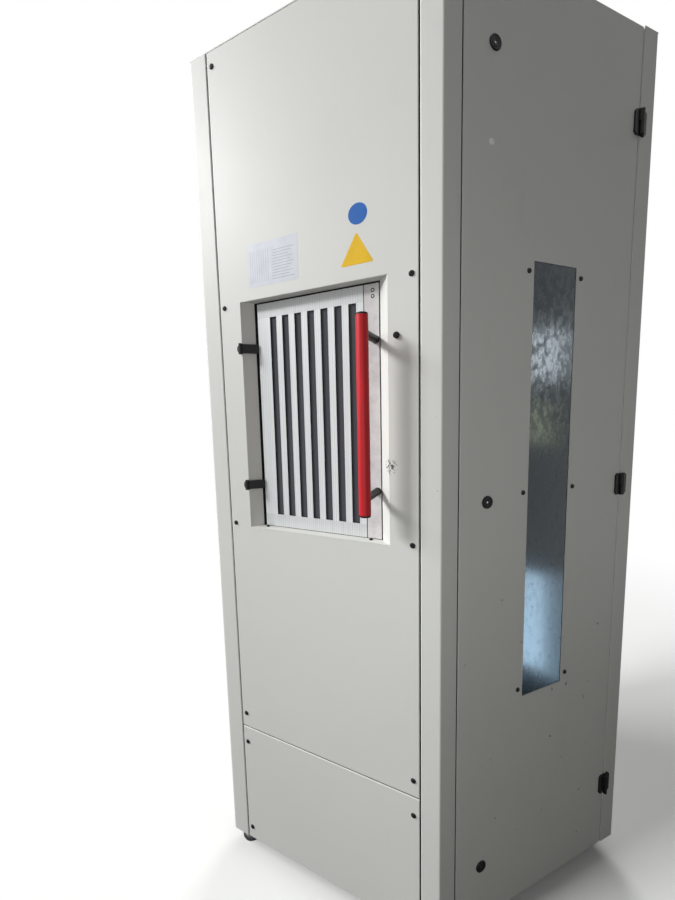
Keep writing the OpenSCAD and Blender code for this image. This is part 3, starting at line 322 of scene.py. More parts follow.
paintGrey = (0.640, 0.645, 0.615)
black = (0.008, 0.008, 0.009)
allWays = (1, 1, 1)
upright = (1, 1, 0.02)
finishes = {
    "paint": powderCoat("lightGreyPowder", paintGrey, dirt=1.0, chips=recessChips),
    "paintPost": powderCoat("handledPowder", paintGrey, dirt=1.5, chips=postChips),
    "paintDoor": powderCoat("doorPowder", paintGrey, dirt=1.6, chips=doorChips),
    "slats": slatCoat("slatCover", (0.70, 0.72, 0.73), slots=(1.388, 2.059)),
    "edgePlate": plainCoat("edgePlateCoat", (0.63, 0.61, 0.61), rough=0.34, grainDepth=0.1),
    "darkCoat": plainCoat("darkGreyCoat", (0.055, 0.057, 0.060), rough=0.45),
    "motor": plainCoat("motorEnamel", (0.038, 0.042, 0.048), rough=0.38, grainScale=500),
    "blackMetal": plainCoat("satinBlack", black, rough=0.42, grainScale=1100, grainDepth=0.2,
                            wear=(0.10, 0.10, 0.10), specular=0.2),
    "blackPlastic": plainCoat("blackMoulding", black, rough=0.50, grainScale=1600, grainDepth=0.3,
                              wear=(0.07, 0.07, 0.07), specular=0.2),
    # Black rubber; the same finish colours the black sheets of painted shade in the gaps and on the slots'
    # walls
    "rubber": plainCoat("sealRubberAndShade", (0.010, 0.010, 0.010), rough=0.75, grainScale=1300, grainDepth=0.4,
                        specular=0.2),
    "plug": plainCoat("plugPlastic", (0.88, 0.88, 0.86), rough=0.30, grainDepth=0.08),
    "red": tubeCoat("redTube", dark=(0.41, 0.006, 0.011), light=(0.53, 0.009, 0.016),
                    scuffed=(0.28, 0.02, 0.025)),
    "window": smokedPane("smokedWindow", (0.004, 0.022, 0.036), alpha=0.93, filmAndSheen=0.18, gloss=0.62,
                         smear=windowFilmAndSheen),
    "hatchPane": smokedPane("smokedHatch", (0.072, 0.076, 0.088), alpha=0.94, filmAndSheen=0.08, gloss=0.3,
                            smear=recessEdge),
    "zinc": brushedMetal("brightZinc", (0.56, 0.56, 0.55), rough=0.32, along=allWays, scale=300),
    "gear": brushedMetal("cutSteel", (0.44, 0.44, 0.43), rough=0.30, along=allWays, scale=500),
    "carousel": plainCoat("columnEnamel", (0.20, 0.22, 0.23), rough=0.36),
    "anodised": brushedMetal("anodisedProfile", (0.62, 0.63, 0.64), rough=0.36, along=upright, scale=900),
    "blue": printed("blueFilm", (0.012, 0.115, 0.42)),
    "yellow": printed("yellowFilm", (0.76, 0.47, 0.010)),
    "label": printed("paleFilm", (0.60, 0.62, 0.68), rough=0.4),
    "rule": printed("greyInk", (0.34, 0.36, 0.42), rough=0.45),
}
print("finishes made")


# Shaping

def soften(bm, edges, width, segments=2):
    bmesh.ops.bevel(bm, geom=edges, offset=width, offset_type="OFFSET", affect="EDGES",
                    segments=segments, profile=0.5, material=-1, clamp_overlap=True)


def addBox(bm, low, high, edge=0.0):
    made = bmesh.ops.create_cube(bm, size=1)["verts"]
    low, high = Vector(low), Vector(high)
    bmesh.ops.scale(bm, vec=high - low, verts=made)
    bmesh.ops.translate(bm, vec=(low + high) / 2, verts=made)
    if edge:
        soften(bm, list({e for v in made for e in v.link_edges}), edge)


def lathe(bm, profile, place, steps):
    # The profile holds a radius and a height for each corner
    before = set(bm.verts)
    line = [bm.verts.new((r, 0, h)) for r, h in profile]
    edges = [bm.edges.new(pair) for pair in zip(line, line[1:])]
    bmesh.ops.spin(bm, geom=line + edges, cent=(0, 0, 0), axis=(0, 0, 1), dvec=(0, 0, 0),
                   angle=math.tau, steps=steps, use_merge=True, use_duplicate=False)
    made = [v for v in bm.verts if v not in before]
    bmesh.ops.remove_doubles(bm, verts=made, dist=0.0005)
    made = [v for v in bm.verts if v not in before]
    faces = list({f for v in made for f in v.link_faces})
    bmesh.ops.recalc_face_normals(bm, faces=faces)
    bmesh.ops.transform(bm, matrix=place, verts=made)


def addPlate(bm, outline, thickness):
    # An outline in x and z, pulled out along y
    ring = [bm.verts.new((x, 0, z)) for x, z in outline]
    face = bm.faces.new(ring)
    grown = bmesh.ops.extrude_face_region(bm, geom=[face])["geom"]
    top = [v for v in grown if isinstance(v, bmesh.types.BMVert)]
    bmesh.ops.translate(bm, vec=(0, thickness, 0), verts=top)
    faces = list({f for v in ring + top for f in v.link_faces})
    bmesh.ops.recalc_face_normals(bm, faces=faces)


def weighNormals(mesh, limit):
    # Large flat faces stay flat beside their rounded edges
    around = {}
    for face in mesh.polygons:
        for corner in face.vertices:
            around.setdefault(corner, []).append(face)
    normals = []
    for face in mesh.polygons:
        for corner in face.vertices:
            close = [f for f in around[corner] if f.normal.dot(face.normal) > limit]
            total = sum((f.normal * f.area for f in close), Vector())
            normals.append(total.normalized() if total.length > 1e-12 else face.normal)
    mesh.normals_split_custom_set(normals)


def finishPiece(bm, name, body, finish, place, replaces=()):
    sharpest = math.radians(35)
    bmesh.ops.transform(bm, matrix=place, verts=bm.verts)
    mesh = bpy.data.meshes.new(name)
    bm.to_mesh(mesh)
    bm.free()
    for key in finish if isinstance(finish, tuple) else (finish,):
        mesh.materials.append(finishes[key])
    mesh.shade_smooth()
    mesh.set_sharp_from_angle(angle=sharpest)
    weighNormals(mesh, math.cos(sharpest))
    piece = bpy.data.objects.new(name, mesh)
    bpy.context.scene.collection.objects.link(piece)
    if replaces:
        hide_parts(*replaces)
    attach(piece, body)


def copyNode(node, place):
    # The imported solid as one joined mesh, in the face's own millimetres
    bm = bmesh.new()
    bm.from_mesh(nodes[node].data)
    bmesh.ops.transform(bm, matrix=place.inverted(), verts=bm.verts)
    bmesh.ops.remove_doubles(bm, verts=bm.verts, dist=0.002)
    bmesh.ops.dissolve_limit(bm, angle_limit=math.radians(0.5), verts=bm.verts, edges=bm.edges)
    return bm


def bendEdges(bm, pick, least=30):
    # Outer edges of at least so many degrees whose two ends are picked
    found = []
    for e in bm.edges:
        if len(e.link_faces) == 2 and e.calc_face_angle_signed(0) > math.radians(least):
            if pick(e.verts[0].co, e.verts[1].co):
                found.append(e)
    return found


# Folded panels

panelBends = {"radius": 3.0, "segments": 4, "shortest": 60}
postBends = {"radius": 3.4, "segments": 4, "shortest": 500, "least": 20, "narrowest": 6}


def bentPanel(node, body, finish, place):
    bm = copyNode(node, place)
    xs = [v.co.x for v in bm.verts]
    zs = [v.co.z for v in bm.verts]
    sides = [(0, min(xs)), (0, max(xs)), (2, min(zs)), (2, max(zs))]

    def onRim(a, b):
        if abs(a.y) > tolerance or abs(b.y) > tolerance or (a - b).length < panelBends["shortest"]:
            return False
        return any(abs(a[k] - side) < tolerance and abs(b[k] - side) < tolerance for k, side in sides)

    soften(bm, bendEdges(bm, onRim), panelBends["radius"], panelBends["segments"])
    finishPiece(bm, node + "_skin", body, finish, place, (node,))


def bentPost(node):
    bm = copyNode(node, planPlace)

    def isUpright(a, b):
        long = (a - b).length > postBends["shortest"]
        return long and abs(a.x - b.x) < tolerance and abs(a.y - b.y) < tolerance

    # The narrow faces are the sheet's own cut edges, which stay sharp
    least = postBends["narrowest"]
    bends = bendEdges(bm, isUpright, postBends["least"])
    bends = [e for e in bends if all(f.calc_area() > least * e.calc_length() for f in e.link_faces)]
    soften(bm, bends, postBends["radius"], postBends["segments"])
    finishPiece(bm, node + "_skin", "tower", "paintPost", planPlace, (node,))


bentPanel("upper_front_panel", "tower", "paint", hatchPlace)
bentPanel("lower_front_panel", "tower", "paint", hatchPlace)
bentPanel("side_door", "door", "paintDoor", doorPlace)
bentPanel("end_panel", "tower", "paint", endPlace)
bentPanel("back_panel_left", "tower", "paint", backPlace)
bentPanel("back_panel_right", "tower", "paint", backPlace)
for post in ("post_near", "post_left", "post_right", "post_rear"):
    bentPost(post)
print("panels folded")


# Hatch

hatch = {
    "left": 199.5,
    "right": 627.5,
    "low": 1345.0,
    "high": 2106.0,
    "front": 34.0,
    "margin": 5.0,
    "rounding": 0.8,
    "wallSlope": 0.1,
}


def alongFront(a, b):
    return abs(a.y - hatch["front"]) < tolerance and abs(b.y - hatch["front"]) < tolerance


def slottedCover():
    bm = copyNode("hatch_cover", hatchPlace)
    soften(bm, bendEdges(bm, alongFront), hatch["rounding"])
    # The slots' side walls get the black finish, a painted shade standing in for the shadow along each
    # slot's edge
    margin = hatch["margin"]
    for face in bm.faces:
        middle = face.calc_center_median()
        across = hatch["left"] + margin < middle.x < hatch["right"] - margin
        upwards = hatch["low"] + margin < middle.z < hatch["high"] - margin
        wall = abs(face.normal.y) < hatch["wallSlope"]
        face.material_index = 1 if across and upwards and wall else 0
    layers = ("slats", "rubber")
    finishPiece(bm, "hatch_cover_slats", "hatch", layers, hatchPlace, ("hatch_cover",))


def edgePlate():
    bm = copyNode("hatch_edge_strip", hatchPlace)
    soften(bm, bendEdges(bm, alongFront), hatch["rounding"])
    replaced = ("hatch_edge_strip",)
    finishPiece(bm, "hatch_edge_plate", "hatch", "edgePlate", hatchPlace, replaced)


def edgeScrews():
    screw = {"x": 609.0, "z": (2088.0, 2071.0), "radius": 3.0, "rim": 5.8, "steps": 24}
    r = screw["radius"]
    rim = screw["rim"]
    head = [(0, 0.3), (1.2, 0.3), (1.5, 1.0), (r - 0.4, 0.9), (r, 0.5), (r, -1), (0, -1)]
    ring = [(r, -0.5), (r, 0.4), (rim - 0.5, 0.4), (rim, 0.1), (rim, -0.5), (r, -0.5)]
    heads = bmesh.new()
    rims = bmesh.new()
    for z in screw["z"]:
        place = Matrix.Translation((screw["x"], hatch["front"], z)) @ outwards
        lathe(heads, head, place, screw["steps"])
        lathe(rims, ring, place, screw["steps"])
    finishPiece(heads, "edge_strip_screws", "hatch", "zinc", hatchPlace)
    finishPiece(rims, "edge_strip_rims", "hatch", "rubber", hatchPlace)


def gapLining():
    # Black sheets on the frame's inner walls, painted shade that makes the gap round the hatch read dark
    walls = {"x": (187.5, 631.5), "y": (35.0, 58.0), "z": (1343.0, 2111.0), "thick": 0.5}
    x0, x1 = walls["x"]
    y0, y1 = walls["y"]
    z0, z1 = walls["z"]
    t = walls["thick"]
    bm = bmesh.new()
    addBox(bm, (x0, y0, z0), (x0 + t, y1, z1))
    addBox(bm, (x1 - t, y0, z0), (x1, y1, z1))
    addBox(bm, (x0, y0, z0), (x1, y1, z0 + t))
    addBox(bm, (x0, y0, z1 - t), (x1, y1, z1))
    finishPiece(bm, "frame_gap_shade", "tower", "rubber", hatchPlace)


def gapStrips():
    # Black strips on the folds, the posts and the seam between the front panels, painted shade that makes
    # the gaps between the panels read dark.
    # Each gap runs from a post to a fold, so a strip on either side moves with its own sheet.
    strip = {"y": (3.6, 18.5), "z": (66.0, 2892.0), "thick": 0.4}
    hatchGaps = {"posts": (66.0, 753.0), "folds": (70.0, 749.0)}
    doorGaps = {"posts": (57.0, 744.0), "folds": (61.0, 740.0)}
    seam = {"low": (70.5, 1.2, 544.3), "high": (748.5, 18.5, 546.0)}
    y0, y1 = strip["y"]
    z0, z1 = strip["z"]
    t = strip["thick"]
    faces = (("hatch", hatchPlace, hatchGaps, "tower"), ("door", doorPlace, doorGaps, "door"))
    for face, place, gaps, inner in faces:
        for side, body in (("posts", "tower"), ("folds", inner)):
            left, right = gaps[side]
            starts = (left, right - t) if side == "posts" else (left - t, right)
            bm = bmesh.new()
            for x in starts:
                addBox(bm, (x, y0, z0), (x + t, y1, z1))
            if face == "hatch" and side == "folds":
                addBox(bm, seam["low"], seam["high"])
            finishPiece(bm, face + "_gap_" + side, body, "rubber", place)


def lowStops():
    stop = {"x": (212.0, 596.0), "y": 24.0, "ledge": 1343.0, "high": 3.4, "radius": 5.5, "steps": 24}
    r = stop["radius"]
    high = stop["high"]
    profile = [(0, 0), (r - 1, 0), (r, -1.2), (r, -high), (0, -high)]
    bm = bmesh.new()
    for x in stop["x"]:
        place = Matrix.Translation((x, stop["y"], stop["ledge"] + high))
        lathe(bm, profile, place, stop["steps"])
    finishPiece(bm, "recess_stops", "tower", "rubber", hatchPlace)


grip = {
    "x": 616.5,
    "y": -81.0,
    "middle": 1721.0,
    "half": 268.0,
    "radius": 17.0,
    "wall": 2.4,
    "cap": 6.0,
    "legs": (1947.0, 1495.0),
    "legRadius": 12.0,
}
gripPlace = Matrix.Translation((grip["x"], grip["y"], grip["middle"]))


def gripTube():
    half = grip["half"]
    r = grip["radius"]
    bore = r - grip["wall"]
    profile = [(bore, -half), (r - 0.5, -half), (r, -half + 0.5), (r, half - 0.5), (r - 0.5, half),
               (bore, half), (bore, -half)]
    bm = bmesh.new()
    lathe(bm, profile, gripPlace, 64)
    finishPiece(bm, "grip_tube", "hatch", "red", hatchPlace, ("handle_tube",))


def gripCaps():
    half = grip["half"]
    r = grip["radius"]
    top = half + grip["cap"]
    profile = [(0, top), (r - 3.2, top), (r - 1.2, top - 0.8), (r - 0.4, top - 2.4), (r - 0.4, half + 0.15),
               (r - 2.6, half + 0.1), (r - 2.8, half - 12), (0, half - 12)]
    bm = bmesh.new()
    for side in (1, -1):
        lathe(bm, profile, gripPlace @ Matrix.Scale(side, 4, (0, 0, 1)), 48)
    bmesh.ops.recalc_face_normals(bm, faces=bm.faces)
    finishPiece(bm, "grip_caps", "hatch", "blackPlastic", hatchPlace, ("handle_caps",))


def gripLegs():
    # Each leg runs from a stud behind the cover to a saddle under the tube
    reach = hatch["front"] - grip["y"]
    saddle = reach - grip["radius"]
    r = grip["legRadius"]
    profile = [(0, -26), (4, -26), (4, 0), (r - 0.8, 0), (r, 0.8), (r, 5), (r - 0.7, 6.2),
               (r - 0.7, reach - 22), (r, reach - 20), (r, saddle - 0.4), (r - 3, saddle + 2.4),
               (0, saddle + 2.4)]
    bm = bmesh.new()
    for z in grip["legs"]:
        lathe(bm, profile, Matrix.Translation((grip["x"], hatch["front"], z)) @ outwards, 40)
    finishPiece(bm, "grip_legs", "hatch", "blackMetal", hatchPlace, ("handle_legs",))


def hingePost(name, hinge, z):
    # A rounded foot, cut off beside the barrel, with the lower half of the barrel
    half = hinge["half"]
    k = hinge["knuckle"]
    x = hinge["x"]
    foot = [(0, 6.0), (half - 4, 6.0), (half - 1.2, 5.0), (half - 0.1, 2.6), (half - 0.1, 0), (0, 0)]
    barrel = [(0, -half), (k - 0.8, -half), (k, -half + 0.8), (k, -0.15), (3.5, -0.15), (3.5, half - 2),
              (0, half - 2)]
    bm = bmesh.new()
    lathe(bm, foot, Matrix.Translation((x - 1, -0.4, z)) @ outwards, 48)
    bmesh.ops.bisect_plane(bm, geom=bm.verts[:] + bm.edges[:] + bm.faces[:], plane_co=(x - 8, 0, 0),
                           plane_no=(1, 0, 0), clear_outer=True)
    bmesh.ops.contextual_create(bm, geom=[e for e in bm.edges if e.is_boundary])
    addBox(bm, (x - 9, -hinge["out"] - 1.5, z - half), (x, -0.4, z - 0.15), 0.8)
    lathe(bm, barrel, Matrix.Translation((x, -hinge["out"], z)), 32)
    made = "hatch_hinge_post_" + name
    replaced = ("hatch_hinge_base_" + name,)
    finishPiece(bm, made, "tower", "blackPlastic", hatchPlace, replaced)


def hingeStrap(name, hinge, z):
    bm = copyNode("hatch_hinge_arm_" + name, hatchPlace)

    def straight(a, b):
        level = abs(a.z - b.z) < tolerance and abs(abs(a.z - z) - hinge["strap"]) < tolerance
        return level and (a - b).length > hinge["shortest"]

    soften(bm, bendEdges(bm, straight), hinge["rounding"])
    made = "hatch_hinge_strap_" + name
    replaced = ("hatch_hinge_arm_" + name,)
    finishPiece(bm, made, "hatch", "blackPlastic", hatchPlace, replaced)


def hatchHinges():
    hinge = {
        "x": 155.0,
        "out": 8.0,
        "half": 17.0,
        "strap": 15.0,
        "knuckle": 6.5,
        "rounding": 1.2,
        "shortest": 9,
        "middles": {"lower": 1494.5, "upper": 1959.5},
    }
    for name, z in hinge["middles"].items():
        hingePost(name, hinge, z)
        hingeStrap(name, hinge, z)


slottedCover()
edgePlate()
edgeScrews()
gapLining()
gapStrips()
lowStops()
gripTube()
gripCaps()
gripLegs()
hatchHinges()
print("hatch fitted")


# Screws, bumper and films on the hatch face

def buttonScrew(bm, place, radius):
    r = radius
    profile = [(0, 1.3), (2.3, 1.3), (2.5, 3.7), (r * 0.55, 3.9), (r * 0.8, 3.2), (r * 0.96, 1.6),
               (r, 0.2), (r, -0.5), (0, -0.5)]
    lathe(bm, profile, place @ outwards, 32)


def panelScrews():
    screw = {"x": (89.0, 730.0), "z": (50.5, 421.0, 541.0, 1291.0, 2041.0, 2791.0), "radius": 8.2}
    bm = bmesh.new()
    for x in screw["x"]:
        for z in screw["z"]:
            buttonScrew(bm, Matrix.Translation((x, 0, plan["floorGap"] + z)), screw["radius"])
    finishPiece(bm, "front_screws", "tower", "blackMetal", hatchPlace, ("panel_screws",))


def bumper():
    knob = {"x": 688.0, "z": 1945.0, "radius": 9.0, "stem": 4.0, "steps": 32}
    r = knob["radius"]
    stem = knob["stem"]
    profile = [(0, 8), (5.5, 8), (r - 1, 7), (r, 5), (r, 0.2), (stem, 0.2), (stem, -10), (0, -10)]
    bm = bmesh.new()
    lathe(bm, profile, Matrix.Translation((knob["x"], 0, knob["z"])) @ outwards, knob["steps"])
    finishPiece(bm, "rubber_bumper", "tower", "rubber", hatchPlace, ("hatch_bumper",))


def roundFilm():
    disc = {"x": 579.5, "z": 2287.6, "radius": 28.5, "thick": 0.35, "steps": 64}
    r = disc["radius"]
    t = disc["thick"]
    bm = bmesh.new()
    place = Matrix.Translation((disc["x"], 0, disc["z"])) @ outwards
    lathe(bm, [(0, t), (r - 0.2, t), (r, 0.15), (r, 0), (0, 0)], place, disc["steps"])
    finishPiece(bm, "round_film", "tower", "blue", hatchPlace)


def triangleFilm():
    sign = {"x": 574.6, "low": 2153.0, "side": 100.0, "corner": 5.0, "thick": 0.35}
    x, low, half = sign["x"], sign["low"], sign["side"] / 2
    rise = sign["side"] * math.sqrt(3) / 2
    corners = [(x - half, low), (x + half, low), (x, low + rise)]
    bm = bmesh.new()
    addPlate(bm, corners, -sign["thick"])
    through = [e for e in bm.edges if abs(e.verts[0].co.y - e.verts[1].co.y) > tolerance]
    soften(bm, through, sign["corner"], 6)
    finishPiece(bm, "triangle_film", "tower", "yellow", hatchPlace)


def paleLabel():
    # Plain bars stand where the photograph's label has words
    sheet = {"left": 196.0, "right": 383.0, "low": 2149.0, "high": 2282.0, "thick": 0.25}
    ink = {"front": -0.32, "back": -0.2}
    rows = {"count": 11, "pitch": 8.6, "left": 92, "right": 12, "low": 14, "thick": 1.6, "ragged": (37, 23)}
    columns = {"count": 9, "pitch": 8.5, "left": 10, "low": 12, "high": 22, "thick": 0.9}
    bm = bmesh.new()
    addBox(bm, (sheet["left"], -sheet["thick"], sheet["low"]), (sheet["right"], 0, sheet["high"]))
    finishPiece(bm, "pale_label", "tower", "label", hatchPlace)
    bm = bmesh.new()
    step, widest = rows["ragged"]
    for k in range(rows["count"]):
        z = sheet["low"] + rows["low"] + k * rows["pitch"]
        end = sheet["right"] - rows["right"] - (k * step) % widest
        addBox(bm, (sheet["left"] + rows["left"], ink["front"], z), (end, ink["back"], z + rows["thick"]))
    for k in range(columns["count"]):
        x = sheet["left"] + columns["left"] + k * columns["pitch"]
        low = sheet["low"] + columns["low"]
        high = sheet["high"] - columns["high"]
        addBox(bm, (x, ink["front"], low), (x + columns["thick"], ink["back"], high))
    finishPiece(bm, "label_rules", "tower", "rule", hatchPlace)


panelScrews()
bumper()
roundFilm()
triangleFilm()
paleLabel()
print("hatch face dressed")


# Door hardware

def doorHinges():
    hinge = {
        "x": 742.0,
        "out": 7.5,
        "half": 37.0,
        "leaf": 18.0,
        "thick": 5.0,
        "knuckle": 7.0,
        "chamfer": 7.0,
        "gap": 0.15,
        "middles": (317.0, 1469.0, 2621.0),
    }
    halves = (
        {"way": 1, "node": "door_hinge_base_", "name": "hinge_fixed_", "body": "tower"},
        {"way": -1, "node": "door_hinge_leaf_", "name": "hinge_moving_", "body": "door"},
    )
    h, w, c, t, k = (hinge[key] for key in ("half", "leaf", "chamfer", "thick", "knuckle"))
    near = k + 2
    far = near + w
    outline = [(near, -h), (far - c, -h), (far, -h + c), (far, h - c), (far - c, h), (near, h)]
    for number, z in enumerate(hinge["middles"], 1):
        place = doorPlace @ Matrix.Translation((hinge["x"], 0, z))
        for piece in halves:
            way = piece["way"]
            low, high = (-h, -hinge["gap"]) if way > 0 else (hinge["gap"], h)
            barrel = [(0, low), (k - 0.9, low), (k, low + 0.9), (k, high - 0.9), (k - 0.9, high), (0, high)]
            bm = bmesh.new()
            addPlate(bm, [(way * a, b) for a, b in outline], -t)
            front = [e for e in bm.edges if all(v.co.y < -t + 0.1 for v in e.verts)]
            soften(bm, front, 1.6)
            tongue = sorted((0, way * (k + 4)))
            addBox(bm, (tongue[0], -hinge["out"] - 2, low), (tongue[1], -0.5, high), 0.8)
            lathe(bm, barrel, Matrix.Translation((0, -hinge["out"], 0)), 32)
            name = piece["name"] + str(number)
            replaced = (piece["node"] + str(number),)
            finishPiece(bm, name, piece["body"], "blackPlastic", place, replaced)


def lockFace(number, lock, place):
    r, n, c, back = (lock[key] for key in ("radius", "neck", "core", "back"))
    rings = [(c, back), (c, -3.2), (c + 0.6, -3.8), (c + 3.0, -3.8), (c + 3.6, -2.6), (c + 5.6, -2.6),
             (c + 6.2, -3.9), (r - 2.6, -4.0), (r - 0.7, -3.2), (r, -1.6), (r, 0), (n, 0), (n, back),
             (c, back)]
    bm = bmesh.new()
    lathe(bm, rings, inwards, 56)
    wide = lock["nut"]
    nut = bmesh.ops.create_cone(bm, cap_ends=True, segments=6, radius1=wide, radius2=wide, depth=6)["verts"]
    bmesh.ops.transform(bm, matrix=Matrix.Translation((0, 5, 0)) @ outwards, verts=nut)
    replaced = ("lock_housing_" + str(number),)
    finishPiece(bm, "lock_face_" + str(number), "door", "blackPlastic", place, replaced)


def lockCore(number, lock, place, body):
    # The turning core with its cam; only the dot in its middle and the steel behind the face are bright
    cam = {"half": 10.0, "front": 33.5, "back": 36.5, "reach": 62.0, "rounding": 1.0}
    s = lock["core"] - 0.1
    dot = lock["dot"]
    w, y0, y1 = cam["half"], cam["front"], cam["back"]
    core = [(0, -1.2), (dot, -1.2), (dot + 0.3, -2.6), (s - 0.6, -3.0), (s, -2.6), (s, 38.5), (0, 38.5)]
    hub = [(0, y1), (w - 0.6, y1), (w, y1 - 0.5), (w, y0 + 0.5), (w - 0.6, y0), (0, y0)]
    bm = bmesh.new()
    lathe(bm, core, inwards, 40)
    for face in bm.faces:
        middle = face.calc_center_median()
        face.material_index = 1 if middle.y < 0 and math.hypot(middle.x, middle.z) > dot else 0
    addBox(bm, (-w, y0, 0), (w, y1, cam["reach"]), cam["rounding"])
    lathe(bm, hub, inwards, 32)
    layers = ("zinc", "blackMetal")
    replaced = ("lock_cam_" + str(number),)
    finishPiece(bm, "lock_core_" + str(number), body, layers, place, replaced)


def locks():
    lock = {"x": 159.0, "radius": 19.0, "neck": 12.5, "nut": 18.75, "core": 8.05, "dot": 3.0, "back": 29.0}
    middles = {"lock_lower": 263.0, "lock_middle": 1467.0, "lock_upper": 2671.0}
    for number, (body, z) in enumerate(middles.items(), 1):
        place = doorPlace @ Matrix.Translation((lock["x"], 0, z))
        lockFace(number, lock, place)
        lockCore(number, lock, place, body)


def windowScrews():
    screw = {"x": (297.0, 508.0), "z": (836.5, 1481.5, 2126.5), "radius": 7.6}
    bm = bmesh.new()
    for x in screw["x"]:
        for z in screw["z"]:
            buttonScrew(bm, Matrix.Translation((x, 0, z)), screw["radius"])
    replaced = ("window_screws",)
    finishPiece(bm, "window_screw_heads", "door", "blackMetal", doorPlace, replaced)


def plugCap():
    plug = {"x": 153.0, "z": 2434.0, "radius": 8.5, "stem": 5.0, "steps": 32}
    r = plug["radius"]
    stem = plug["stem"]
    profile = [(0, 2.5), (6.6, 2.4), (r - 0.3, 1.4), (r, 0.2), (stem, 0.2), (stem, -8), (0, -8)]
    bm = bmesh.new()
    lathe(bm, profile, Matrix.Translation((plug["x"], 0, plug["z"])) @ outwards, plug["steps"])
    finishPiece(bm, "plug_cap", "door", "plug", doorPlace, ("door_plug",))


doorHinges()
locks()
windowScrews()
plugCap()
print("door fitted")


# Nodes that keep their own shape

kept = {
    "base_plate": "darkCoat",
    "levelling_feet": "darkCoat",
    "roof_panel": "paint",
    "hatch_frame": "paint",
    "hatch_switch": "darkCoat",
    "hatch_actuator": "zinc",
    "door_window": "window",
    "window_retainer": "darkCoat",
    "door_seal": "rubber",
    "hatch_leaf": "slats",
    "hatch_pane": "hatchPane",
    "carousel_pedestal": "darkCoat",
    "carousel_motor": "motor",
    "top_bearing": "darkCoat",
    "carousel_column": "carousel",
    "ring_discs": "gear",
    "tool_forks_1": "blackPlastic",
    "tool_forks_2": "blackPlastic",
    "tool_forks_3": "blackPlastic",
    "ring_gear": "gear",
    "drive_pinion": "gear",
    "lift_column": "anodised",
    "lift_motor": "motor",
    "lift_carriage": "anodised",
    "tool_gripper": "blackMetal",
}
for node, finish in kept.items():
    mesh = nodes[node].data
    mesh.materials.clear()
    mesh.materials.append(finishes[finish])
print("inner pieces finished")


# Room and light

def floorFinish():
    # Pale near the cabinet, where it keeps the shadow, and white where it runs out of sight
    floor = {"seen": (0.82, 0.82, 0.81), "bounce": (0.10, 0.095, 0.09), "fadeFrom": 1.2, "fadeTo": 4.5}
    f = Finish("floor")
    direct = f.node("ShaderNodeLightPath", {}, {}, "Is Camera Ray")
    glossy = f.node("ShaderNodeLightPath", {}, {}, "Is Glossy Ray")
    f.set(baseColor=f.blend(direct, floor["bounce"], floor["seen"]), roughness=0.85, specular=0.2)
    away = f.node("ShaderNodeVectorMath", {"operation": "LENGTH"}, {0: f.coords}, 1)
    far = f.node("ShaderNodeMapRange", {"interpolation_type": "SMOOTHSTEP"}, {
        "Value": away, "From Min": floor["fadeFrom"], "From Max": floor["fadeTo"],
        "To Min": 0.0, "To Max": 1.0})
    seen = f.node("ShaderNodeMath", {"operation": "MAXIMUM"}, {0: direct, 1: glossy}) * far
    white = f.node("ShaderNodeEmission", {}, {"Color": (1, 1, 1, 1), "Strength": 1.0})
    mixed = f.node("ShaderNodeMixShader", {}, {0: seen, 1: Wire(f, f.shader.outputs[0]), 2: white})
    f.feed(f.tree.nodes["Material Output"].inputs["Surface"], mixed)
    return f.material


def stageFloor():
    bm = bmesh.new()
    bmesh.ops.create_grid(bm, x_segments=1, y_segments=1, size=60)
    mesh = bpy.data.meshes.new("floor")
    bm.to_mesh(mesh)
    bm.free()
    mesh.materials.append(floorFinish())
    thing = bpy.data.objects.new("floor", mesh)
    bpy.context.scene.collection.objects.link(thing)


def stageWorld():
    # White to the camera, to mirrors and through panes; to all other rays a soft light from above
    soft = {"colour": (0.98, 1.0, 0.98, 1), "below": 0.035, "above": 0.19}
    world = bpy.data.worlds.new("room")
    bpy.context.scene.world = world
    world.use_nodes = True
    tree = world.node_tree
    tree.nodes.clear()
    kinds = ("LightPath", "TexCoord", "SeparateXYZ", "MapRange", "Math", "Math", "Background", "Background",
             "MixShader", "OutputWorld")
    made = [tree.nodes.new("ShaderNode" + kind) for kind in kinds]
    path, coords, split, rise, glossy, through, seen, lit, mix, out = made
    glossy.operation = "MAXIMUM"
    through.operation = "MAXIMUM"
    seen.inputs["Color"].default_value = (1, 1, 1, 1)
    seen.inputs["Strength"].default_value = 1.0
    lit.inputs["Color"].default_value = soft["colour"]
    rise.inputs["To Min"].default_value = soft["below"]
    rise.inputs["To Max"].default_value = soft["above"]
    links = (
        (path.outputs["Is Camera Ray"], glossy.inputs[0]),
        (path.outputs["Is Glossy Ray"], glossy.inputs[1]),
        (glossy.outputs[0], through.inputs[0]),
        (path.outputs["Is Transmission Ray"], through.inputs[1]),
        (coords.outputs["Generated"], split.inputs[0]),
        (split.outputs["Z"], rise.inputs["Value"]),
        (rise.outputs[0], lit.inputs["Strength"]),
        (through.outputs[0], mix.inputs[0]),
        (lit.outputs[0], mix.inputs[1]),
        (seen.outputs[0], mix.inputs[2]),
        (mix.outputs[0], out.inputs[0]),
    )
    for start, end in links:
        tree.links.new(start, end)


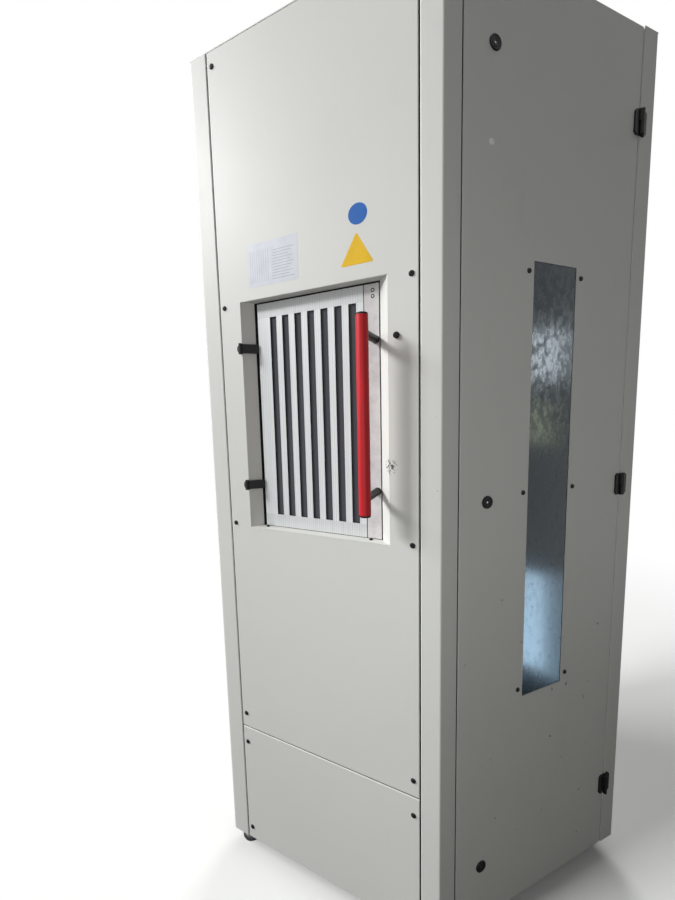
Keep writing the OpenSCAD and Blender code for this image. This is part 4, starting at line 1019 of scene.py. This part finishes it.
def softLight(name, place, aim, size, power, tint=(1, 1, 1)):
    data = bpy.data.lights.new(name, "AREA")
    data.shape = "RECTANGLE"
    data.size, data.size_y = size
    data.energy = power
    data.color = tint
    lamp = bpy.data.objects.new(name, data)
    spot = Vector(place)
    turn = (Vector(aim) - spot).to_track_quat("-Z", "Y").to_matrix().to_4x4()
    lamp.matrix_world = Matrix.Translation(spot) @ turn
    bpy.context.scene.collection.objects.link(lamp)
    return lamp


def mirrorCard(name, place, aim, size, glow, tint, seenBy):
    # A bright card that only the panes reflect; glow is its brightness, where 1 is white
    power = glow * math.pi * size[0] * size[1]
    card = softLight(name, doorPlace @ Vector(place), doorPlace @ Vector(aim), size, power, tint)
    card.visible_camera = False
    card.visible_diffuse = False
    card.light_linking.receiver_collection = seenBy


def lights():
    # The hall's windows lie to the left of the cabinet; places and sizes are in metres, power in watts
    softLight("leftWindow", (-12.8, 1.15, 9.6), aim=(-0.3, -0.1, 1.4), size=(2.8, 2.8), power=1790)
    softLight("leftBand", (-10.6, 5.3, 9.4), aim=(-0.3, -0.1, 1.4), size=(4.5, 3.0), power=890)
    softLight("leftHall", (-7.3, 2.9, 2.2), aim=(-0.3, -0.1, 1.0), size=(5.0, 2.6), power=80)
    softLight("nearFill", (-1.02, -1.75, 1.50), aim=(0.0, -0.3, 1.35), size=(1.3, 1.3), power=8.7)
    softLight("backFill", (3.2, 4.6, 3.6), aim=(0.1, 0, 1.4), size=(3.0, 3.0), power=190)


def cards():
    # Places are on the door's face in millimetres, sizes in metres
    white, leaves, sky = (0.80, 0.92, 1.0), (0.74, 0.86, 0.58), (0.52, 0.77, 1.0)
    table = {
        "highCard": ((2530, -1850, 2256), (345, 0, 1900), (0.42, 0.48), 12.5, white),
        "midCard": ((2559, -1850, 1600), (350, 0, 1690), (0.16, 0.40), 6.5, leaves),
        "lowCard": ((1110, -660, 528), (335, 0, 1075), (0.16, 0.50), 11.5, sky),
        "lowGlow": ((1160, -660, 500), (360, 0, 1060), (0.34, 0.58), 2.3, sky),
    }
    panes = bpy.data.collections.new("panes")
    panes.objects.link(nodes["door_window"])
    for name, (place, aim, size, glow, tint) in table.items():
        mirrorCard(name, place, aim, size, glow, tint, panes)


stageFloor()
stageWorld()
lights()
cards()
bpy.context.scene.view_settings.view_transform = "Standard"
print("room lit")
